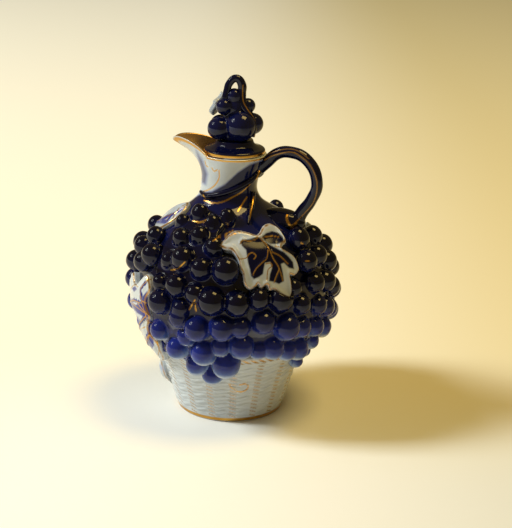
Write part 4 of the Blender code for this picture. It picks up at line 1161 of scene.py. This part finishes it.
# %% Rolls of clay
HANDLE_RADIUS = 3.8 * MM
HANDLE_TOP = (36.0 * MM, 174.1 * MM)
HANDLE_BEND = (55.0 * MM, 156.0 * MM)
HANDLE_END = (38.0 * MM, 120.0 * MM)
HANDLE_ROOT = (float(np.interp(160 * MM, wall_heights, wall_radii)), 160 * MM)
HANDLE_RISE_SHARES = ((-0.25, -0.02), (0.16, 0.42), (0.58, 0.88))
HANDLE_BEND_SHARES = ((0.0, 0.0), (0.62, 0.21), (1.0, 1.0))
HANDLE_FALL_SHARES = ((0.20, 0.31), (0.55, 0.56), (1.0, 1.0))
HANDLE_THICKNESS_SHARES = (1.15, 1.05, 1.0, 1.0, 1.0, 1.0, 1.0, 1.1, 1.3)
SWELLING_PLACE = (32.0 * MM, 0, 129.3 * MM)
SWELLING_TILT = math.radians(2)
SWELLING_REACH = (16.5 * MM, 9.0 * MM, 8.0 * MM)


def roll(name, places, shares, thickness, smoothness=6, sides=4):
    """A round roll through the places, as a mesh."""
    curve = bpy.data.curves.new(name, "CURVE")
    curve.dimensions = "3D"
    curve.bevel_depth = thickness
    curve.bevel_resolution = sides
    curve.resolution_u = smoothness
    curve.use_fill_caps = True
    spline = curve.splines.new("BEZIER")
    spline.bezier_points.add(len(places) - 1)
    for knot, place, share in zip(spline.bezier_points, places, shares):
        knot.co = place
        knot.radius = share
        knot.handle_left_type = "AUTO"
        knot.handle_right_type = "AUTO"
    thing = bpy.data.objects.new(name, curve)
    bpy.context.collection.objects.link(thing)
    only(thing)
    bpy.ops.object.convert(target="MESH")
    thing = bpy.context.object
    begin_edit(thing, "SELECT")
    bpy.ops.mesh.remove_doubles(threshold=0.01 * MM)
    bpy.ops.mesh.normals_make_consistent(inside=False)
    end_edit()
    return thing


def between(start, end, shares):
    """Places in the handle's plane, at shares of the way across and up from one corner to the next."""
    return [(start[0] + across * (end[0] - start[0]), 0, start[1] + up * (end[1] - start[1]))
            for across, up in shares]


handle_line = (between(HANDLE_ROOT, HANDLE_TOP, HANDLE_RISE_SHARES)
               + between(HANDLE_TOP, HANDLE_BEND, HANDLE_BEND_SHARES)
               + between(HANDLE_BEND, HANDLE_END, HANDLE_FALL_SHARES))
handle = roll("handle_roll", handle_line, HANDLE_THICKNESS_SHARES, HANDLE_RADIUS, 12, 6)
bpy.ops.object.select_all(action="DESELECT")
bpy.ops.mesh.primitive_uv_sphere_add(
    segments=48, ring_count=24, radius=1, location=SWELLING_PLACE, rotation=(0, SWELLING_TILT, 0),
    scale=SWELLING_REACH)
swelling = bpy.context.object
handle = join([handle, swelling], "handle_roll")
only(handle)
bpy.ops.object.transform_apply(location=True, rotation=True, scale=True)
apply_modifier(handle, "REMESH", mode="VOXEL", voxel_size=0.6 * MM)
apply_modifier(handle, "SMOOTH", factor=0.5, iterations=8)
HANDLE_GILT = (
    (((265, 160), (270, 157), (275, 155), (290, 152), (300, 156), (310, 165), (316, 178), (317, 190),
      (313, 203), (303, 215), (292, 227), (289, 236)), 0.7 * MM, 0.55),
    (((268, 154), (280, 150), (291, 149), (300, 152), (309, 159)), 0.5 * MM, 0.5),
    (((287, 215), (287, 220), (291, 226), (296, 223)), 1.3 * MM, 1.0),
)
cobalt_all_over(handle, THICK_COAT)
tree = surface(handle)
for pixels, width, strength in HANDLE_GILT:
    gild_both_sides(handle, spots(tree, pixels), width, strength)
finish_piece(handle, "handle_roll", "carafe", ["handle"], cobalt_glaze)

# %% Vines and stem
VINE_PATH_SHARES = ((0, 0.952), (-20, 0.925), (-45, 0.900), (-70, 0.877), (-95, 0.860), (-120, 0.850),
                    (-143, 0.855))
STEM_PATH_SHARES = ((-14, 0.865), (-22, 0.835), (-32, 0.812), (-44, 0.793), (-50, 0.775))
VINE_GILT = (((262, 163), (257, 178), (247, 190), (235, 198), (220, 203), (208, 201), (203, 195)),)
STEM_GILT = (((252, 190), (245, 200), (238, 210)), ((254, 197), (251, 210), (250, 228), (252, 234)))
for name, table, thickness, gilt_lines, side in (
        ("front_vine", VINE_PATH_SHARES, 2.0 * MM, VINE_GILT, 1),
        ("back_vine", VINE_PATH_SHARES, 2.0 * MM, VINE_GILT, -1),
        ("front_leaf_stem", STEM_PATH_SHARES, 1.6 * MM, STEM_GILT, 1)):
    rows = np.array(table)
    places = on_wall(np.radians(rows[:, 0]), rows[:, 1] * RIM_HEIGHT, np.full(len(rows), 0.5 * MM))
    twig = roll(name + "_roll", places, [1.0] * (len(places) - 1) + [0.55], thickness, 16)
    apply_modifier(twig, "REMESH", mode="VOXEL", voxel_size=0.4 * MM)
    apply_modifier(twig, "SMOOTH", factor=0.5, iterations=4)
    cobalt_all_over(twig, THICK_COAT)
    tree = surface(twig)
    for pixels in gilt_lines:
        stroke(twig, "gilt", spots(tree, pixels), 1.0 * MM)
    if side < 0:
        set_points(twig, points_of(twig) * (1, -1, 1))
        begin_edit(twig, "SELECT")
        bpy.ops.mesh.flip_normals()
        end_edit()
    finish_piece(twig, name + "_roll", "carafe", [name], cobalt_glaze)

# %% [markdown]
# ## The stopper
# The stopper is cast hollow: a flange and a low cone with a knob of grapes, a looped stem and a small
# leaf, and a shank that hangs loose in the neck. It is spun from its outline like the vessel.

# %% Flange, cone and shank
GAP = 0.3 * MM
FLANGE_RADIUS = 19.4 * MM
FLANGE_THICKNESS = 3.4 * MM
CONE_TOP_RADIUS = 11.5 * MM
CONE_HEIGHT = 5 * MM
SHANK_TOP_RADIUS = 13.6 * MM
SHANK_END_RADIUS = 11.2 * MM
SHANK_LENGTH = 15 * MM
SHANK_WALL = 2.5 * MM
FLANGE_ROUNDING = 1.6 * MM
STOPPER_STEPS = 128
CONE_SPREAD = FLANGE_RADIUS - CONE_TOP_RADIUS
seat = RIM_HEIGHT + GAP
top = seat + FLANGE_THICKNESS
cone = rounded(((CONE_TOP_RADIUS, top + CONE_HEIGHT),
                (CONE_TOP_RADIUS + 0.18 * CONE_SPREAD, top + 0.45 * CONE_HEIGHT),
                (CONE_TOP_RADIUS + 0.55 * CONE_SPREAD, top + 0.12 * CONE_HEIGHT),
                (FLANGE_RADIUS - FLANGE_ROUNDING, top)), parts=5)
edge = [(FLANGE_RADIUS - FLANGE_ROUNDING * (1 - math.sin(turn)), top - FLANGE_ROUNDING * (1 - math.cos(turn)))
        for turn in np.linspace(0.2, math.pi / 2, 6)]
edge += [(FLANGE_RADIUS, seat + 0.8 * MM), (FLANGE_RADIUS - 0.2 * MM, seat + 0.25 * MM),
         (FLANGE_RADIUS - 0.7 * MM, seat)]
shank = [(SHANK_TOP_RADIUS, seat), (SHANK_END_RADIUS, RIM_HEIGHT - SHANK_LENGTH),
         (SHANK_END_RADIUS - SHANK_WALL, RIM_HEIGHT - SHANK_LENGTH), (SHANK_TOP_RADIUS - SHANK_WALL, seat),
         (0, top - SHANK_WALL)]
cone_top = [(0, top + CONE_HEIGHT), (CONE_TOP_RADIUS / 2, top + CONE_HEIGHT)]
stopper = spun(cone_top + [tuple(corner) for corner in cone] + edge + shank, STOPPER_STEPS)
points = points_of(stopper)
around = np.hypot(points[:, 0], points[:, 1])
layer(stopper, "cobalt", (points[:, 2] > seat + 1.0 * MM).astype(float))
layer(stopper, "pale", np.full(len(points), THICK_COAT))
layer(stopper, "gilt", np.clip((0.9 * MM - np.abs(points[:, 2] - seat - 1.2 * MM)) / GILT_EDGE, 0, 1)
      * (around > FLANGE_RADIUS - 1.0 * MM))
finish_piece(stopper, "stopper_cone", "stopper", ["stopper"], cobalt_glaze)

# %% Knob of grapes and its stem
KNOB_HEIGHT = 50 * MM
TOP_GRAPE_RADIUS = 6 * MM
STOPPER_FACING = math.radians(-70)
TOP_GRAPE_SHARES = (
    (0.00, 0.00, 0.250, 1.50), (0.00, 0.00, 0.430, 1.30), (0.00, 0.00, 0.575, 1.05),
    (-0.15, 0.00, 0.725, 0.85), (-1.70, 0.55, 0.325, 1.22), (0.60, 0.80, 0.360, 1.62),
    (1.85, -0.15, 0.375, 1.15), (-0.30, -1.40, 0.350, 1.35), (-1.60, -0.90, 0.340, 1.05),
    (1.00, -1.40, 0.345, 1.00), (-1.20, 0.50, 0.600, 0.88), (1.30, -0.30, 0.600, 0.82),
    (-0.20, -1.00, 0.590, 0.90),
)
TOP_STEM_SHARES = ((-1.12, 0.20, 0.690, 0.95), (-0.92, 0.08, 0.790, 0.98), (-0.66, 0.00, 0.885, 1.00),
                   (0.05, 0.00, 0.948, 1.05), (0.62, 0.00, 0.870, 1.18), (0.62, 0.05, 0.760, 1.22),
                   (0.72, 0.30, 0.640, 1.15), (1.35, 0.75, 0.520, 0.90), (1.95, 1.05, 0.380, 0.70),
                   (1.85, 1.30, 0.240, 0.60))
TOP_LEAF_SHARES = ((0.0, -0.50), (0.42, -0.28), (0.36, -0.02), (0.50, 0.16), (0.20, 0.28), (0.0, 0.50),
                   (-0.20, 0.28), (-0.50, 0.16), (-0.36, -0.02), (-0.42, -0.28))
out_way = np.array((math.cos(STOPPER_FACING), math.sin(STOPPER_FACING), 0))
side_way = np.array((-out_way[1], out_way[0], 0))


def on_stopper(row):
    """A place above the rim, in shares, as seen from the side that the stopper faces."""
    above = np.array((0, 0, RIM_HEIGHT + row[2] * KNOB_HEIGHT))
    return (side_way * row[0] + out_way * row[1]) * TOP_GRAPE_RADIUS + above


middles = np.array([on_stopper(row) for row in TOP_GRAPE_SHARES])
sizes = np.array([row[3] for row in TOP_GRAPE_SHARES]) * TOP_GRAPE_RADIUS
parts = []
for middle, size in zip(middles, sizes):
    bpy.ops.object.select_all(action="DESELECT")
    bpy.ops.mesh.primitive_ico_sphere_add(subdivisions=3, radius=size, location=middle)
    parts.append(bpy.context.object)
knob = join(parts, "stopper_knob")
only(knob)
bpy.ops.object.transform_apply(location=True, rotation=True, scale=True)
apply_modifier(knob, "REMESH", mode="VOXEL", voxel_size=0.5 * MM)
points = points_of(knob)
for _ in range(SETTLING_ROUNDS):
    away = points[:, None, :] - middles[None, :, :]
    reach = np.linalg.norm(away, axis=2)
    gap, way = toward_union(away / reach[:, :, None], reach - sizes)
    points = moved(points, way, np.clip(gap, -MM, MM))
points[:, 2] = np.maximum(points[:, 2], top + CONE_HEIGHT - 0.6 * MM)
set_points(knob, points)
cobalt_all_over(knob, KNOB_COAT)
finish_piece(knob, "stopper_knob", "stopper", ["stopper_grapes"], cobalt_glaze)

TOP_STEM_GILT = ((243, 85), (243, 100), (248, 110), (254, 118), (257, 128), (254, 138))
stem = roll("stopper_stem_roll", [on_stopper(row) for row in TOP_STEM_SHARES],
            [row[3] for row in TOP_STEM_SHARES], 2.4 * MM, 12)
apply_modifier(stem, "REMESH", mode="VOXEL", voxel_size=0.4 * MM)
apply_modifier(stem, "SMOOTH", factor=0.5, iterations=4)
cobalt_all_over(stem, THICK_COAT)
stroke(stem, "gilt", spots(surface(stem), TOP_STEM_GILT), 0.45 * MM)
finish_piece(stem, "stopper_stem_roll", "stopper", ["stopper_stem"], cobalt_glaze)

# %% The stopper's leaf
TOP_LEAF_LENGTH, TOP_LEAF_WIDTH, TOP_LEAF_THICKNESS = 17 * MM, 12 * MM, 3 * MM
TOP_LEAF_REACH, TOP_LEAF_RISE = 13 * MM, 30 * MM
TOP_LEAF_AZIMUTH, TOP_LEAF_LEAN = math.radians(170), math.radians(28)
top_line = rounded([(TOP_LEAF_WIDTH * across, TOP_LEAF_LENGTH * up) for across, up in TOP_LEAF_SHARES],
                   closed=True)
top_leaf = plate(top_line, -TOP_LEAF_THICKNESS / 2, TOP_LEAF_THICKNESS / 2, 0.4 * MM, "stopper_leaf_relief")
apply_modifier(top_leaf, "SMOOTH", factor=0.5, iterations=6)
flat = points_of(top_leaf)
_, gap = within(flat[:, :2], top_line)
spine = np.abs(flat[:, 0])
carved = 0.5 * MM * np.exp(-(spine / (0.7 * MM)) ** 2) - 0.8 * MM * smooth(gap / (2 * MM))
flat[:, 2] += np.where(flat[:, 2] > 0, carved, 0)
edge_gilt = np.clip((0.25 * MM - np.abs(gap - 0.5 * MM)) / (0.2 * MM) + 0.5, 0, 1)
layer(top_leaf, "cobalt", 0.8 * np.clip((1.2 * MM - spine) / MM, 0, 1) * smooth(gap / (2 * MM) - 0.3))
layer(top_leaf, "pale", np.full(len(flat), 0.3))
layer(top_leaf, "gilt", edge_gilt * (flat[:, 2] > 0.9 * MM))
set_points(top_leaf, flat)
leaf_place = (TOP_LEAF_REACH * math.cos(TOP_LEAF_AZIMUTH), TOP_LEAF_REACH * math.sin(TOP_LEAF_AZIMUTH),
              RIM_HEIGHT + TOP_LEAF_RISE)
top_leaf.data.transform(Matrix.Translation(leaf_place)
                        @ Matrix.Rotation(TOP_LEAF_AZIMUTH + math.pi / 2, 4, "Z")
                        @ Matrix.Rotation(-TOP_LEAF_LEAN, 4, "X") @ Matrix.Rotation(math.pi / 2, 4, "X"))
finish_piece(top_leaf, "stopper_leaf_relief", "stopper", ["stopper_leaf"], leaf_porcelain)

# %% [markdown]
# ## Floor and light
# The carafe stands on a sheet of matt paper that runs far back. A paper sheet is rough and has no gloss,
# so it only takes the light and the shadow. Its colour is painted darker and yellower to the right, away
# from the window, and cooler towards its front edge: two plain fades along the sheet, in its own
# coordinates, that are painted light and shade, not the paper's own colour. Daylight comes through a
# window on the left as a wide soft part and a brighter pane, which is what the glaze mirrors. A warm
# lamp hangs to the right, and the room gives a little warm light of its own.

# %% Floor
# Painted light and shade on the paper: bright on the window's side, darker and yellower away from it, cooler
# at the front.
PAPER_WINDOW_LIT, PAPER_PAINTED_SHADE_RIGHT = "#f5f4f0", "#d6caa4"
PAPER_FRONT_LIT_LEFT, PAPER_FRONT_PAINTED_SHADE_RIGHT = "#f4f7ff", "#c6c8c8"
PAPER_ROUGHNESS = 0.9
STUDIO_TURN = math.radians(20)
WINDOW_FALLOFF_FROM, WINDOW_FALLOFF_TO = -130 * MM, 340 * MM
FRONT_LIGHT_FADE_FROM, FRONT_LIGHT_FADE_TO = -114 * MM, 160 * MM
from_window = np.array((math.cos(STUDIO_TURN), math.sin(STUDIO_TURN), 0))
to_front = np.array((math.sin(STUDIO_TURN), -math.cos(STUDIO_TURN), 0))

bpy.ops.object.select_all(action="DESELECT")
bpy.ops.mesh.primitive_plane_add(size=40, location=(0, 0, 0))
floor = bpy.context.object
floor.name = "floor_sheet"
begin_edit(floor, "SELECT")
bpy.ops.mesh.subdivide(number_cuts=4)
end_edit()
sheet = bpy.data.materials.new("matt_paper_painted_light")
sheet.use_nodes = True
tree = sheet.node_tree
place = node(tree, "ShaderNodeTexCoord").outputs["Object"]
fades = []
for way, start, end in ((from_window, WINDOW_FALLOFF_FROM, WINDOW_FALLOFF_TO), (to_front, FRONT_LIGHT_FADE_FROM, FRONT_LIGHT_FADE_TO)):
    along_way = node(tree, "ShaderNodeVectorMath", {0: place, 1: tuple(way)}, operation="DOT_PRODUCT")
    fade = node(tree, "ShaderNodeMapRange", {"Value": along_way.outputs["Value"], "From Min": start,
                                             "From Max": end}, interpolation_type="SMOOTHSTEP")
    fades.append(fade.outputs["Result"])
paper = [node(tree, "ShaderNodeMix", {"Factor": fades[0], "A": linear(left), "B": linear(right)},
              data_type="RGBA").outputs["Result"]
         for left, right in ((PAPER_WINDOW_LIT, PAPER_PAINTED_SHADE_RIGHT), (PAPER_FRONT_LIT_LEFT, PAPER_FRONT_PAINTED_SHADE_RIGHT))]
colour = node(tree, "ShaderNodeMix", {"Factor": fades[1], "A": paper[0], "B": paper[1]}, data_type="RGBA")
shader = tree.nodes["Principled BSDF"]
tree.links.new(colour.outputs["Result"], shader.inputs["Base Color"])
shader.inputs["Roughness"].default_value = PAPER_ROUGHNESS
shader.inputs["Specular IOR Level"].default_value = 0.0
floor.data.materials.append(sheet)
print("floor faces:", len(floor.data.polygons))

# %% Lights and world
WINDOW_LIGHT, LAMP_LIGHT, ROOM_LIGHT = "#f5faf2", "#ffdc82", "#ffdc8c"
ROOM_STRENGTH = 0.2
TARGET = (0, 0, 90 * MM)
WINDOW_PLACE = tuple(to_front * 0.1 - from_window * 3.8 + np.array((0, 0, 3.2)))
LAMP_PLACE = tuple(to_front * 0.1 + from_window * 0.6 + np.array((0, 0, 1.95)))


def softbox(name, place, size, power, hexes):
    """A light of a width and a height in metres that looks at the carafe's middle."""
    bpy.ops.object.select_all(action="DESELECT")
    bpy.ops.object.light_add(type="AREA", location=place)
    made = bpy.context.object
    made.name = name
    made.data.shape = "RECTANGLE"
    made.data.size, made.data.size_y = size
    made.data.energy = power
    made.data.color = linear(hexes)[:3]
    made.rotation_euler = (Vector(TARGET) - Vector(place)).to_track_quat("-Z", "Y").to_euler()
    print(name, "stands in m at", np.round(place, 2).tolist())


softbox("window", WINDOW_PLACE, (2.8, 1.5), 20, WINDOW_LIGHT)
softbox("window_pane", WINDOW_PLACE, (1.0, 1.6), 252, WINDOW_LIGHT)
softbox("warm_lamp", LAMP_PLACE, (0.8, 0.8), 20, LAMP_LIGHT)
world = bpy.data.worlds.new("studio")
bpy.context.scene.world = world
world.use_nodes = True
world.node_tree.nodes.clear()
glow = node(world.node_tree, "ShaderNodeBackground", {"Color": linear(ROOM_LIGHT), "Strength": ROOM_STRENGTH})
node(world.node_tree, "ShaderNodeOutputWorld", {"Surface": glow.outputs[0]})
bpy.context.scene.view_settings.view_transform = "Standard"
